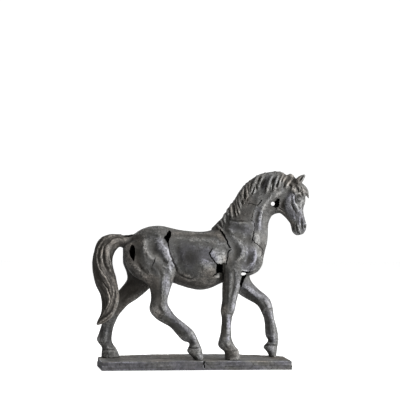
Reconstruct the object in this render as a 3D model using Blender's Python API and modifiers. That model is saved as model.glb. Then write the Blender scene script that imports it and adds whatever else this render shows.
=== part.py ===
"""Walking horse statue on a low plinth: a weathered casting with open breaks in its skin."""

import math

import bmesh
import bpy
import numpy as np
from mathutils import Vector
from mathutils.bvhtree import BVHTree

# Driving dimensions, in metres.
STATUE_HEIGHT = 0.376
STATUE_REACH = 0.419
PLINTH_LENGTH = 0.360
PLINTH_DEPTH = 0.094
PLINTH_THICKNESS = 0.0170
PLINTH_CROWN = 0.0016
PLINTH_EDGE = 0.0020
SEAT_GAP = 0.0003
HORSE_OFFSET = -0.0029
CRACK_WIDTH = 0.0020
CRACK_DEPTH = 0.0045
BREAK_DEPTH = 0.014
CHIP_WIDTH = 0.007
CHIP_DEPTH = 0.0030

# The horse is drawn on a sheet: 378 high with the plinth, 419 from tail to forelock, ground at 17.
DRAWN_HEIGHT = 378.0
DRAWN_REACH = 419.0
DRAWN_GROUND = 17.0
FAR_LEG_SHIFT = 2.0
# Marks on the skin are drawn as this point sees them, and carried along its lines of sight.
EYE = np.array((-487.0, -3262.0, 317.0))

VOXEL = 1.8
SMOOTH_ROUNDS = 7
CARVED_SMOOTH_ROUNDS = 2
HORSE_TRIANGLES = 8600
RING_POINTS = 24
LOCK_POINTS = 10
STEPS_BETWEEN_RIBS = 4

# A rib is (back x, back z, front x, front z, centre y, half width): the two ends of one cross-section.
TORSO = [
    (-126, 232, -130, 205, 0, 12),
    (-118, 250, -124, 186, 0, 23),
    (-104, 262, -108, 172, 0, 30),
    (-86, 270, -88, 166, 0, 34),
    (-66, 273, -68, 166, 0, 36),
    (-46, 269.5, -46, 166, 0, 36),
    (-26, 265, -26, 161, 0, 39),
    (-6, 262.8, -6, 155.5, 0, 41.5),
    (14, 262, 14, 152.8, 0, 42.5),
    (34, 265, 34, 156.5, 0, 41),
    (54, 272, 54, 163, 0, 37),
    (74, 277, 76, 169, 0, 35),
    (94, 275, 98, 175, 0, 34),
    (112, 262, 114, 181, 0, 31),
    (126, 244, 126, 189, 0, 25),
    (134, 225, 133, 199, 0, 15),
]
NECK = [
    (40, 262, 132, 196, 0, 32),
    (50, 273, 138, 222, 0, 31),
    (59, 286, 141.5, 243, 0, 28),
    (68, 299, 143, 259, 0, 24.5),
    (80, 316, 144.5, 274, 0, 21.5),
    (94, 333, 147.5, 286, 0, 19),
    (110, 349, 153, 294.5, 0, 17),
    (128, 361, 160, 299, 0, 15.5),
    (147, 368, 168, 303, 0, 15),
    (165, 370, 178, 312, 0, 14.5),
    (180, 366, 186, 325, 0, 13.5),
]
HEAD = [
    (178, 354, 196, 365, 0, 8),
    (172, 340, 207, 357, 0, 13.5),
    (168, 325, 213, 345, 0, 16.5),
    (165.5, 310, 215.5, 331, 0, 16.5),
    (168, 299.5, 214.8, 319, 0, 14.5),
    (176, 292, 213.6, 309, 0, 12.5),
    (182, 285.5, 213.8, 300, 0, 11),
    (187.5, 278, 216, 290, 0, 10),
    (189.8, 270, 218.8, 280, 0, 10.5),
    (190.8, 264, 220.3, 272, 0, 10.8),
    (194, 259.5, 218.5, 265, 0, 9.3),
    (201, 257, 213, 259.5, 0, 6),
]
EAR = [
    (197, 357, 208, 354, 9, 4.5),
    (200, 363, 210, 359, 9.5, 4.2),
    (205, 368, 213, 364, 10.5, 3.4),
    (210, 371.5, 215, 368.5, 11.5, 2.4),
    (214, 373.5, 216, 372.3, 12.2, 1.2),
]
NEAR_HIND = [
    (-112, 243, -60, 252, -16, 15),
    (-133, 220, -50, 230, -18, 18),
    (-131, 200, -43, 208, -21, 18.5),
    (-121, 184, -38.5, 190, -24, 17.5),
    (-105, 172, -41, 174, -26, 15.5),
    (-91, 160, -45, 160, -27, 13.5),
    (-86, 148, -49, 148, -27, 12),
    (-85, 133, -53, 133, -27, 10.5),
    (-88, 117, -52, 124, -27, 10),
    (-84, 106, -47, 115, -27, 10),
    (-72, 97, -42, 108, -27, 9.3),
    (-60, 90, -37, 101.5, -27, 8.6),
    (-47, 83, -29, 95, -27, 8),
    (-37, 72.5, -18, 86.5, -27, 8),
    (-27, 60, -7, 77.5, -27, 8.8),
    (-21, 53, 0, 69, -27, 9.3),
    (-12, 51, 6, 56, -27, 8.6),
    (-11, 46.5, 10.5, 46, -27, 10),
    (-14.5, 39, 13, 40, -27, 11),
    (-15, 34, 15, 31, -27, 11.5),
    (-4, 22, 16.5, 23, -27, 10.5),
    (1, 14, 15, 14, -27, 9),
]
FAR_HIND = [
    (-112, 243, -60, 252, 16, 15),
    (-133, 220, -56, 228, 18, 18),
    (-131, 200, -58, 200, 21, 18),
    (-125, 182, -66, 178, 24, 16.5),
    (-123, 169, -77, 158, 26, 15),
    (-127, 160, -92, 143, 27, 13),
    (-139, 148, -108, 130, 27, 11.5),
    (-150, 138, -122, 121, 27, 10.5),
    (-163, 126, -133, 110, 27, 10),
    (-167, 110, -141, 100, 27, 9.3),
    (-169, 94, -147, 88, 27, 8.5),
    (-173, 77, -151.5, 76, 27, 8),
    (-177, 64, -154, 63, 27, 8.5),
    (-181, 53, -154.5, 52, 27, 9.3),
    (-174, 43, -151.5, 44, 27, 8.8),
    (-171, 37, -146, 36.5, 27, 10.5),
    (-172, 27, -141, 26, 27, 12),
    (-172, 14, -137, 14, 27, 12.8),
]
NEAR_FORE = [
    (52, 238, 108, 246, -16, 13),
    (51, 222, 120, 226, -18, 15.5),
    (51, 206, 118, 206, -20, 16),
    (52, 190, 104, 190, -23, 15),
    (53, 176, 90, 177, -25, 13.5),
    (53, 160, 86.5, 160, -26, 12),
    (53, 145, 83.5, 145, -26, 11),
    (52.5, 130, 79.5, 130, -26, 10),
    (49.5, 119, 77.5, 118, -26, 10),
    (48.5, 110, 76, 110, -26, 10),
    (50.5, 101, 72, 101, -26, 9),
    (51, 92, 70.5, 92, -26, 8),
    (51, 80, 69.7, 80, -26, 7.8),
    (49.5, 67, 69.7, 67, -26, 8.3),
    (46, 56, 71.5, 56, -26, 9.3),
    (45, 47, 75.5, 47.5, -26, 9.8),
    (51, 40, 79.5, 41.5, -26, 9.2),
    (57.5, 35, 83.8, 37, -26, 10.5),
    (57.5, 27, 86.5, 28, -26, 12),
    (58, 14, 88.5, 14, -26, 12.8),
]
FAR_FORE = [
    (52, 238, 108, 246, 16, 13),
    (53, 222, 120, 226, 18, 15.5),
    (58, 206, 119, 208, 20, 16),
    (66, 188, 114, 196, 23, 14.5),
    (74, 167, 112, 184, 25, 13.5),
    (84, 149, 113, 171, 26, 12.5),
    (96, 140, 119, 160, 26, 12),
    (109, 131, 130, 147, 26, 11),
    (121, 123, 142, 138, 26, 10.3),
    (129, 116.5, 151, 129, 26, 10.2),
    (134, 108, 157.5, 117, 26, 10),
    (138.5, 98, 159.5, 104, 26, 9),
    (141, 90, 161, 93, 26, 8),
    (143.3, 79, 164, 80, 26, 7.8),
    (144, 67, 167, 67, 26, 8.3),
    (144.5, 58, 169.5, 57, 26, 9.5),
    (149, 51, 169, 51, 26, 8.6),
    (147, 46.5, 167.5, 45, 26, 9.3),
    (141, 40.5, 166.5, 39, 26, 10.8),
    (140, 36, 165.5, 32, 26, 11.3),
    (147, 28, 165, 25, 26, 10.3),
    (154, 14, 165, 14, 26, 8.5),
]
TAIL = [
    (-110, 256, -114, 240, -1, 8),
    (-122, 255, -126, 236, -1, 9),
    (-134, 255.5, -135, 234.5, -2, 10),
    (-147, 257, -144, 234.5, -2, 11),
    (-161, 256.5, -150, 231, -3, 12),
    (-174, 250, -153.5, 224.5, -3, 12.5),
    (-184, 240, -155, 216, -3, 13),
    (-190.5, 226, -155.5, 206, -3, 13.3),
    (-194, 208, -154.5, 196, -3, 13.5),
    (-194, 190, -151.5, 184, -3, 13.5),
    (-191, 172, -148, 170, -3, 13.3),
    (-186, 156, -145, 157, -3, 13),
    (-179, 142, -142.5, 144, -3, 12.5),
    (-176, 127, -142.5, 131, -3, 12),
    (-176, 113, -146, 118, -3, 11),
    (-178, 103, -152, 104, -3, 9.5),
    (-182, 95, -160, 94, -3, 7.5),
    (-185.5, 87, -172, 86.5, -3, 5),
    (-186.5, 82, -180, 83, -3, 2.5),
]
MANE = [
    (34, 266, 58, 256, 0, 6),
    (46, 278, 68, 265, 0, 7),
    (56, 294, 78, 282, 0, 7.5),
    (64, 310, 88, 298, 0, 7.5),
    (75, 323.5, 98, 310, 0, 7.5),
    (86, 338.5, 110, 322, 0, 8),
    (96.5, 352, 120, 332, 0, 8),
    (110, 363, 130, 340, 0, 8),
    (125, 372, 140, 346, 0, 8.5),
    (142, 377, 152, 350, 0, 8.5),
    (159, 379, 164, 352, 0, 8.5),
    (173, 375.5, 175, 352, 0, 8),
    (188, 374, 186, 350, 0, 8),
    (198, 366, 193, 346, 0, 7),
]

# Locks of the mane are (half width, points from the crest down to the tip); the far side mirrors them.
MANE_LOCKS = [
    (3.2, [(50, 277), (55, 270), (60, 262)]),
    (3.2, [(59, 291), (60, 280), (64, 268)]),
    (3.2, [(68, 306), (71, 297), (74, 286)]),
    (3.0, [(76, 317), (79, 306), (82, 293)]),
    (2.8, [(81, 321), (84, 309), (88, 297)]),
    (3.0, [(87, 331), (88, 319), (91, 308)]),
    (3.2, [(93, 340), (94, 326), (98, 314)]),
    (3.4, [(100, 348), (104, 335), (99, 321)]),
    (3.4, [(110, 357), (111, 345), (106, 331)]),
    (3.4, [(119, 364), (120, 348), (111, 331)]),
    (3.4, [(130, 369), (126, 357), (123, 343)]),
    (3.4, [(144, 373), (142, 354), (137, 334)]),
    (3.2, [(153, 374), (147, 359), (145, 342)]),
    (3.6, [(163, 374), (157, 356), (152, 338)]),
    (3.2, [(171, 371), (165, 358), (159, 346)]),
    (3.0, [(179, 370), (172, 358), (166, 350)]),
    (3.0, [(187, 369), (181, 358), (177, 348)]),
    (3.0, [(194, 365), (189, 356), (187, 348)]),
]
# Locks of the forelock also give how far each point stands off the middle plane.
FORELOCK = [
    (4.2, [(196, 0, 366), (208, 0, 356), (217, 0, 347), (220.5, 0, 338), (223, 0, 328)]),
    (3.2, [(196, -5, 364), (204, -8, 355), (209, -10, 346), (208, -12, 337)]),
    (3.2, [(192, -8, 362), (195, -12, 353), (197, -14, 345), (192, -15, 337)]),
    (3.2, [(196, 5, 364), (204, 8, 355), (209, 10, 346), (208, 12, 337)]),
    (3.2, [(192, 8, 362), (195, 12, 353), (197, 14, 345), (192, 15, 337)]),
]
TAIL_LOCKS = [
    (3.4, [(-134, 248), (-158, 250), (-178, 238), (-188, 218), (-190, 196), (-186, 172), (-178, 150)]),
    (3.4, [(-136, 244), (-160, 243), (-174, 231), (-183, 206), (-174, 182), (-162, 160), (-158, 136)]),
    (3.4, [(-138, 240), (-156, 237), (-168, 220), (-169, 204), (-160, 180), (-151, 158), (-149, 138)]),
    (3.0, [(-187, 160), (-176, 148), (-165, 136), (-163, 122), (-170, 104), (-181, 88)]),
    (3.0, [(-158, 140), (-154, 124), (-160, 108), (-170, 97), (-183, 84)]),
    (3.0, [(-180, 142), (-172, 128), (-170, 114), (-176, 98)]),
]

# Carving strokes are (sides, radius, rise, points): a rise below nothing is a hollow.
NEAR = (-1,)
BOTH = (-1, 1)
STROKES = [
    (BOTH, 11, 3.0, [(-50, 236), (-43, 215), (-38, 198), (-37, 184)]),
    (BOTH, 8, -2.6, [(-38, 238), (-31, 218), (-28, 200), (-24, 182)]),
    (BOTH, 10, 2.2, [(-64, 257), (-58, 250)]),
    (BOTH, 9, -2.4, [(-98, 246), (-99, 222), (-94, 200), (-84, 180)]),
    (NEAR, 4, 2.0, [(-128, 215), (-120, 197), (-110, 188), (-97, 178), (-86, 169)]),
    (BOTH, 8, -2.2, [(70, 262), (84, 244), (97, 226), (101, 208)]),
    (BOTH, 11, 2.6, [(76, 240), (86, 222), (88, 206)]),
    (BOTH, 8, -2.2, [(44, 232), (47, 214), (50, 198)]),
    (BOTH, 9, 2.2, [(60, 196), (66, 186)]),
    (BOTH, 8, 2.6, [(149, 332), (136, 312), (130, 290), (126, 268)]),
    (BOTH, 6.5, -2.2, [(150, 318), (140, 300), (136, 282), (134, 262)]),
    (BOTH, 10, 1.8, [(112, 226), (118, 212)]),
    (BOTH, 7, -2.0, [(112, 250), (122, 238), (128, 224)]),
    (BOTH, 13, 2.2, [(182, 320), (184, 316)]),
    (BOTH, 4.5, -1.8, [(196, 336), (200, 328), (194, 322)]),
    (BOTH, 3.2, 1.8, [(203, 326), (204, 325)]),
    (BOTH, 4, -1.6, [(190, 318), (198, 302), (203, 290)]),
    (BOTH, 3.2, -2.6, [(216, 274), (217, 270)]),
    (BOTH, 2.6, -1.8, [(201, 275), (202, 268), (205, 262)]),
    (NEAR, 4, -1.6, [(-66, 150), (-69, 134), (-72, 118)]),
    (NEAR, 3.5, -1.4, [(-50, 95), (-34, 80), (-20, 66)]),
    (NEAR, 3.5, -1.4, [(59, 160), (60, 135), (58, 118)]),
    (NEAR, 3.5, -1.4, [(57, 98), (56, 80), (56, 64)]),
    (NEAR, 2.6, -1.4, [(-49, 238), (-46, 220), (-39, 201), (-35, 190), (-28, 181), (-12, 172), (3, 176)]),
]

# Breaks in the skin are outlines on the near side, each with its depth as a share of BREAK_DEPTH.
BREAKS = [
    (1.0, [(-46, 264), (-42, 256), (-46, 247), (-49, 237), (-58, 249), (-53, 256)]),
    (0.8, [(-119, 238), (-123.5, 226), (-123, 217), (-119, 210), (-113, 203), (-112, 214), (-115, 236)]),
    (1.0, [(45, 200), (58, 198.5), (57, 183), (45, 180), (43, 190)]),
    (1.0, [(157, 320), (166, 326), (166, 315), (163, 309), (155, 309.5)]),
]
THROAT_HOLE = (153.5, 317)
THROAT_HOLE_RADIUS = 3.8
BRISKET_GAP = [(91, 177), (96, 184), (103, 182.5), (101, 176)]
SHOULDER_CRACK = [(54, 272), (53, 265), (58, 256), (64, 244), (68, 233), (73, 229), (69, 225), (67, 214), (63, 200)]
CHIP_PLACE = 0.146


def through_ribs(ribs, steps=STEPS_BETWEEN_RIBS):
    """The ribs with more between them, on Catmull-Rom curves through their values."""
    rows = np.array(ribs, float)
    rows = np.vstack([2 * rows[0] - rows[1], rows, 2 * rows[-1] - rows[-2]])
    made = []
    for i in range(1, len(rows) - 2):
        a, b, c, d = rows[i - 1:i + 3]
        for t in np.arange(steps) / steps:
            made.append(0.5 * (2 * b + (c - a) * t + (2 * a - 5 * b + 4 * c - d) * t ** 2
                               + (3 * b - a - 3 * c + d) * t ** 3))
    made.append(rows[-2])
    return made


def add_rings(bm, rings):
    """Skins a row of equal rings of points and closes both ends."""
    made = [[bm.verts.new(point) for point in ring] for ring in rings]
    count = len(made[0])
    for lower, upper in zip(made, made[1:]):
        for k in range(count):
            n = (k + 1) % count
            bm.faces.new((lower[k], lower[n], upper[n], upper[k]))
    bm.faces.new(list(reversed(made[0])))
    bm.faces.new(made[-1])


def add_loft(bm, ribs, side=1, shift=0.0):
    """Adds one closed form whose cross-sections are ellipses on the ribs."""
    rings = []
    for back_x, back_z, front_x, front_z, centre_y, half_width in through_ribs(ribs):
        ring = []
        for k in range(RING_POINTS):
            turn = 2 * math.pi * k / RING_POINTS
            along = 0.5 + 0.5 * math.cos(turn)
            ring.append((
                back_x + (front_x - back_x) * along + shift,
                side * centre_y + half_width * math.sin(turn),
                back_z + (front_z - back_z) * along,
            ))
        rings.append(ring)
    add_rings(bm, rings)


def add_lock(bm, path, half_width):
    """Adds a tapering lock of hair along a path of (point, outward direction)."""
    points = np.array([p for p, _ in path], float)
    outward = np.array([n for _, n in path], float)
    rows = np.array(through_ribs(np.hstack([points, outward])))
    rings = []
    for i, row in enumerate(rows):
        t = i / (len(rows) - 1)
        fat = half_width * (0.75 + 0.25 * math.sin(math.pi * t)) * min(1.0, 3.0 * (1.0 - t) + 0.25)
        ahead = rows[min(i + 1, len(rows) - 1)][:3] - rows[max(i - 1, 0)][:3]
        out = row[3:] / np.linalg.norm(row[3:])
        across = np.cross(ahead, out)
        across /= np.linalg.norm(across)
        rings.append([
            row[:3] + fat * (math.cos(a) * across + math.sin(a) * out)
            for a in 2 * math.pi * np.arange(LOCK_POINTS) / LOCK_POINTS
        ])
    add_rings(bm, rings)


def sight_line(x, z):
    """The line from the eye through a point of the sheet, as a start and a direction."""
    through = np.array((x, 0.0, z)) - EYE
    return EYE, through / np.linalg.norm(through)


def on_skin(tree, points, side):
    """Carries drawn points onto the form, with the outward direction at each."""
    path = []
    for x, z in points:
        start, along = sight_line(x, z)
        spot, normal, _, _ = tree.ray_cast(Vector(start), Vector(along))
        if spot is None:
            spot, normal, _, _ = tree.find_nearest(Vector((x, 0.0, z)))
        out = np.array(normal)
        out[1] = min(out[1], 0.0)
        path.append((np.array(spot) * (1, -side, 1), out * (1, -side, 1)))
    return path


def new_object(name, mesh, collection):
    obj = bpy.data.objects.new(name, mesh)
    collection.objects.link(obj)
    return obj


def take_shape(obj):
    """Makes what an object's modifiers give its own mesh."""
    bpy.context.view_layer.update()
    graph = bpy.context.evaluated_depsgraph_get()
    mesh = bpy.data.meshes.new_from_object(obj.evaluated_get(graph))
    obj.modifiers.clear()
    obj.data = mesh


def mesh_of(bm, name):
    bmesh.ops.recalc_face_normals(bm, faces=bm.faces)
    mesh = bpy.data.meshes.new(name)
    bm.to_mesh(mesh)
    bm.free()
    return mesh


def skin_over(obj, rounds):
    """Joins overlapping forms under one even skin and softens it."""
    remesh = obj.modifiers.new("skin", "REMESH")
    remesh.mode = "VOXEL"
    remesh.voxel_size = VOXEL
    soften = obj.modifiers.new("soften", "SMOOTH")
    soften.factor = 0.5
    soften.iterations = rounds
    take_shape(obj)


def add_body(bm):
    for ribs in (TORSO, NECK, HEAD, MANE, TAIL, EAR, NEAR_HIND, NEAR_FORE):
        add_loft(bm, ribs)
    add_loft(bm, EAR, side=-1)
    for ribs in (FAR_HIND, FAR_FORE):
        add_loft(bm, ribs, shift=FAR_LEG_SHIFT)


def add_hair(bm, tree):
    for side in BOTH:
        for half_width, points in MANE_LOCKS + TAIL_LOCKS:
            add_lock(bm, on_skin(tree, points, side), half_width)
    for half_width, points in FORELOCK:
        add_lock(bm, [(point, (0.5, 0.12 * point[1], 0.5)) for point in points], half_width)


def vertex_array(mesh, field):
    values = np.empty(len(mesh.vertices) * 3)
    mesh.vertices.foreach_get(field, values)
    return values.reshape(-1, 3)


def beside_path(points, path):
    """Each point's distance to a drawn path on the sheet, and how far along the path it is, 0 to 1."""
    path = np.array(path, float)
    lengths = np.linalg.norm(np.diff(path, axis=0), axis=1)
    best = np.full(len(points), np.inf)
    share = np.zeros(len(points))
    for i, (a, run) in enumerate(zip(path, np.diff(path, axis=0))):
        t = np.clip((points - a) @ run / (run @ run), 0.0, 1.0)
        apart = np.linalg.norm(points - a - t[:, None] * run, axis=1)
        closer = apart < best
        best[closer] = apart[closer]
        share[closer] = ((lengths[:i].sum() + t * lengths[i]) / lengths.sum())[closer]
    return best, share


def carve(mesh):
    """Raises ridges and sinks hollows in the skin along the drawn strokes."""
    places = vertex_array(mesh, "co")
    normals = vertex_array(mesh, "normal")
    seen = places * (1, 0, 1) - (0, 1, 0) * np.abs(places[:, 1:2])
    along = seen - EYE
    sheet = (EYE + along * (-EYE[1] / along[:, 1:2]))[:, (0, 2)]
    moved = places.copy()
    for sides, radius, rise, path in STROKES:
        for side in sides:
            facing = np.clip(1.5 * side * normals[:, 1], 0.0, 1.0) * (side * places[:, 1] > 0)
            apart, share = beside_path(sheet, path)
            near = np.clip(1.0 - (apart / radius) ** 2, 0.0, None) ** 2
            fading = np.sin(math.pi * (0.12 + 0.76 * share))
            moved += normals * (rise * near * fading * facing)[:, None]
    mesh.vertices.foreach_set("co", moved.ravel())
    mesh.update()


def to_size(mesh):
    """Brings the drawn form to its real size and stands it on the plinth."""
    places = vertex_array(mesh, "co")
    mesh.vertices.foreach_set("co", real_points(places).ravel())
    mesh.update()


def real_points(points):
    """Drawn places as real ones, in metres."""
    reach = STATUE_REACH / DRAWN_REACH
    rise = (STATUE_HEIGHT - PLINTH_THICKNESS) / (DRAWN_HEIGHT - DRAWN_GROUND)
    return np.array(points, float) * (reach, reach, rise) + (
        HORSE_OFFSET, 0.0, PLINTH_THICKNESS - rise * DRAWN_GROUND)


def plinth_block(name, top_rise, margin, drop):
    """A block under the plinth's slightly crowned top face, lifted, widened or deepened as asked."""
    rows = 12
    columns = 4
    bm = bmesh.new()
    bmesh.ops.create_grid(bm, x_segments=rows, y_segments=columns, size=1.0)
    for vert in bm.verts:
        across = vert.co.x
        deep = vert.co.y
        vert.co.x = across * (PLINTH_LENGTH / 2 + margin)
        vert.co.y = deep * (PLINTH_DEPTH / 2 + margin)
        vert.co.z = plinth_top(vert.co.x, vert.co.y) + top_rise
    floor = bmesh.ops.extrude_face_region(bm, geom=bm.faces[:])["geom"]
    for item in floor:
        if isinstance(item, bmesh.types.BMVert):
            item.co.z = -drop
    return mesh_of(bm, name)


def plinth_top(x, y):
    along = min(1.0, abs(2 * x / PLINTH_LENGTH))
    back = 0.5 + max(-0.5, min(0.5, y / PLINTH_DEPTH))
    return PLINTH_THICKNESS + PLINTH_CROWN * (1 - along ** 2) * (0.6 + 0.8 * back)


def break_cutter(name, outline, near_y, far_y, collection):
    """A prism through a drawn outline, along the lines of sight, between two distances from the middle."""
    rings = []
    for y in (near_y, far_y):
        ring = []
        for x, z in outline:
            start, along = sight_line(x, z)
            ring.append(start + along * (y - EYE[1]) / along[1])
        rings.append(real_points(ring))
    bm = bmesh.new()
    add_rings(bm, rings)
    return hidden(new_object(name, mesh_of(bm, name), collection))


def hidden(obj):
    obj.hide_render = True
    obj.display_type = "WIRE"
    return obj


def crack_outline(path):
    """A drawn crack's two edges: a band that narrows to its lower end."""
    half = CRACK_WIDTH / 2 * DRAWN_REACH / STATUE_REACH
    left = []
    right = []
    for i, (x, z) in enumerate(path):
        before = path[max(i - 1, 0)]
        after = path[min(i + 1, len(path) - 1)]
        run = Vector((after[0] - before[0], after[1] - before[1])).normalized()
        wide = half * (1.2 - 0.9 * i / (len(path) - 1))
        left.append((x - run.y * wide, z + run.x * wide))
        right.append((x + run.y * wide, z - run.x * wide))
    return left + right[::-1]


def skin_depth(tree, outline):
    """How far from the middle plane the skin is at the middle of a drawn outline."""
    middle = np.mean(np.array(outline, float), axis=0)
    (spot, _), = on_skin(tree, [middle], -1)
    return spot[1]


def cut(obj, cutter, name):
    boolean = obj.modifiers.new(name, "BOOLEAN")
    boolean.operation = "DIFFERENCE"
    boolean.solver = "EXACT"
    boolean.object = cutter


def patina(name, colour, roughness):
    material = bpy.data.materials.new(name)
    material.use_nodes = True
    shader = material.node_tree.nodes["Principled BSDF"]
    shader.inputs["Base Color"].default_value = (*colour, 1.0)
    shader.inputs["Roughness"].default_value = roughness
    shader.inputs["Metallic"].default_value = 0.25
    return material


def make_horse(collection, cutters):
    bm = bmesh.new()
    add_body(bm)
    horse = new_object("horse", mesh_of(bm, "horse"), collection)
    skin_over(horse, SMOOTH_ROUNDS)
    bm = bmesh.new()
    bm.from_mesh(horse.data)
    tree = BVHTree.FromBMesh(bm)
    add_hair(bm, tree)
    horse.data = mesh_of(bm, "horse")
    skin_over(horse, CARVED_SMOOTH_ROUNDS)
    carve(horse.data)
    decimate = horse.modifiers.new("facets", "DECIMATE")
    decimate.ratio = HORSE_TRIANGLES / (2 * len(horse.data.polygons))
    take_shape(horse)
    to_size(horse.data)
    horse.data.materials.clear()
    horse.data.materials.append(patina("lead_grey_patina", (0.085, 0.083, 0.086), 0.48))

    units = DRAWN_REACH / STATUE_REACH
    outside = -80.0
    for i, (share, outline) in enumerate(BREAKS):
        bottom = skin_depth(tree, outline) + BREAK_DEPTH * share * units
        cut(horse, break_cutter(f"break_{i + 1}", outline, outside, bottom, cutters), f"break {i + 1}")
    crack = crack_outline(SHOULDER_CRACK)
    bottom = skin_depth(tree, SHOULDER_CRACK) + CRACK_DEPTH * units
    cut(horse, break_cutter("shoulder_crack", crack, outside, bottom, cutters), "shoulder crack")
    x, z = THROAT_HOLE
    disc = [
        (x + THROAT_HOLE_RADIUS * math.cos(a), z + THROAT_HOLE_RADIUS * math.sin(a))
        for a in 2 * math.pi * np.arange(12) / 12
    ]
    cut(horse, break_cutter("throat_hole", disc, outside, -outside, cutters), "throat hole")
    cut(horse, break_cutter("brisket_gap", BRISKET_GAP, outside, -outside, cutters), "brisket gap")
    seat = plinth_block("seat", SEAT_GAP, 0.040, 0.040)
    cut(horse, hidden(new_object("seat", seat, cutters)), "seat")
    return horse


def make_plinth(collection, cutters):
    plinth = new_object("plinth", plinth_block("plinth", 0.0, 0.0, 0.0), collection)
    plinth.data.materials.append(patina("lead_grey_plinth", (0.075, 0.072, 0.078), 0.55))
    bevel = plinth.modifiers.new("worn edges", "BEVEL")
    bevel.width = PLINTH_EDGE
    bevel.segments = 2
    bevel.limit_method = "ANGLE"
    bevel.angle_limit = math.radians(40)
    bm = bmesh.new()
    bmesh.ops.create_cone(bm, cap_ends=True, segments=3, radius1=CHIP_WIDTH / 2, radius2=CHIP_WIDTH / 3,
                          depth=2 * PLINTH_THICKNESS)
    chip = hidden(new_object("edge_chip", mesh_of(bm, "edge_chip"), cutters))
    chip.location = (CHIP_PLACE * PLINTH_LENGTH / 2, CHIP_WIDTH / 4 - PLINTH_DEPTH / 2 - CHIP_DEPTH / 2,
                     PLINTH_THICKNESS)
    cut(plinth, chip, "edge chip")
    return plinth


def main():
    for obj in list(bpy.data.objects):
        bpy.data.objects.remove(obj)
    parts = bpy.data.collections.new("horse_statue")
    cutters = bpy.data.collections.new("cutters")
    bpy.context.scene.collection.children.link(parts)
    bpy.context.scene.collection.children.link(cutters)
    statue = new_object("statue", None, parts)
    horse = make_horse(parts, cutters)
    plinth = make_plinth(parts, cutters)
    for piece in (horse, plinth):
        piece.parent = statue


main()
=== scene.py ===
"""Looks of the walking horse statue: a weathered, cracked casting in lead grey, on its slab."""

import logging
import math
from dataclasses import dataclass, field
from enum import Enum
from functools import partial
from typing import Iterable, Sequence

import bmesh
import bpy
import numpy as np
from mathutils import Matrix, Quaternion, Vector, noise
from mathutils.bvhtree import BVHTree


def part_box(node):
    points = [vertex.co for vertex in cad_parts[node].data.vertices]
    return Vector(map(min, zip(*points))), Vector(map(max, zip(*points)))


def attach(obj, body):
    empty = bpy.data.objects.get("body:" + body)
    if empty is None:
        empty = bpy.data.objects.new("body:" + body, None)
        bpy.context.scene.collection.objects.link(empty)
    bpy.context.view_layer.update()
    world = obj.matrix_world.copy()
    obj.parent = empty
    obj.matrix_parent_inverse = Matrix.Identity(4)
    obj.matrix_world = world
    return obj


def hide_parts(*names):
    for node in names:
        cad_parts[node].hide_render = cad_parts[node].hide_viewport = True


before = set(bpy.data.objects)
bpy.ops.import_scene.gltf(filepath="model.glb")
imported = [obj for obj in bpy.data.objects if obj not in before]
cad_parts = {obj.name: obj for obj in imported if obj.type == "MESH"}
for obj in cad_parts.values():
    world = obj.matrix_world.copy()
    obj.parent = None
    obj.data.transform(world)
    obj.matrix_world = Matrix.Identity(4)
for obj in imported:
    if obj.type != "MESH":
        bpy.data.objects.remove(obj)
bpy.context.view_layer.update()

Row = tuple[float, ...]
Path = Sequence[Row]

LOG = logging.getLogger("horse_statue")

# A rib is (back x, back z, front x, front z, centre y, half width) on the drawing sheet.
TORSO = [
    (-126, 232, -130, 205, 0, 12),
    (-118, 252.5, -124, 186, 0, 23),
    (-104, 264.5, -108, 172, 0, 30),
    (-86, 271.2, -88, 166, 0, 34),
    (-66, 273.2, -68, 166, 0, 36),
    (-46, 269.5, -46, 165, 0, 36),
    (-26, 265, -26, 158.6, 0, 39),
    (-6, 262.8, -6, 152.6, 0, 41.5),
    (14, 262, 14, 149.8, 0, 42.5),
    (34, 265, 34, 153.8, 0, 41),
    (54, 272, 54, 163, 0, 37),
    (74, 277, 76, 169, 0, 35),
    (94, 275, 98, 175, 0, 34),
    (112, 262, 114, 179.2, 0, 31),
    (126, 244, 126, 187, 0, 25),
    (134, 225, 133, 199, 0, 15),
]
NECK = [
    (40, 262, 132, 196, 0, 32),
    (50, 273, 138, 222, 0, 31),
    (59, 286, 143, 243, 0, 28),
    (68, 299, 144.3, 259, 0, 24.5),
    (80, 316, 144.5, 274, 0, 21.5),
    (94, 333, 147.5, 286, 0, 19),
    (110, 349, 153, 294.5, 0, 17),
    (128, 361, 160, 299, 0, 15.5),
    (147, 368, 168, 303, 0, 15),
    (165, 370, 178, 312, 0, 14.5),
    (180, 366, 186, 325, 0, 13.5),
]
HEAD = [
    (178, 354, 196, 365, 0, 8),
    (172, 340, 207, 357, 0, 13.5),
    (168, 325, 213, 345, 0, 16.5),
    (165.5, 310, 217.3, 331, 0, 16.5),
    (168, 299.5, 216.6, 319, 0, 14.5),
    (176, 292, 213.6, 309, 0, 12.5),
    (182, 285.5, 213.8, 300, 0, 11),
    (187.5, 278, 216, 290, 0, 10),
    (189.8, 270, 218.8, 280, 0, 10.5),
    (190.8, 264, 220.3, 272, 0, 10.8),
    (194, 259.5, 218.5, 265, 0, 9.3),
    (200, 255.4, 212.6, 257.6, 0, 6),
]
THROAT = [
    (146, 314, 149, 291.5, 0, 9),
    (152, 314, 155.5, 295.5, 0, 10.5),
    (159, 314, 162, 298.2, 0, 11.5),
    (166, 313, 168.5, 298, 0, 11.5),
    (172, 311, 175, 293.5, 0, 10),
]
EAR = [
    (197.5, 359, 208, 352.5, 9, 4.8),
    (199.4, 366, 210.8, 358, 9.5, 4.6),
    (203.4, 369.8, 213.4, 362.4, 10.5, 4.0),
    (208, 372.4, 215.2, 366.2, 11.5, 3.2),
    (212.2, 373.8, 216.8, 369.4, 12.2, 2.2),
    (214.6, 374.4, 217.2, 371.8, 12.6, 1.2),
]
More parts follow.
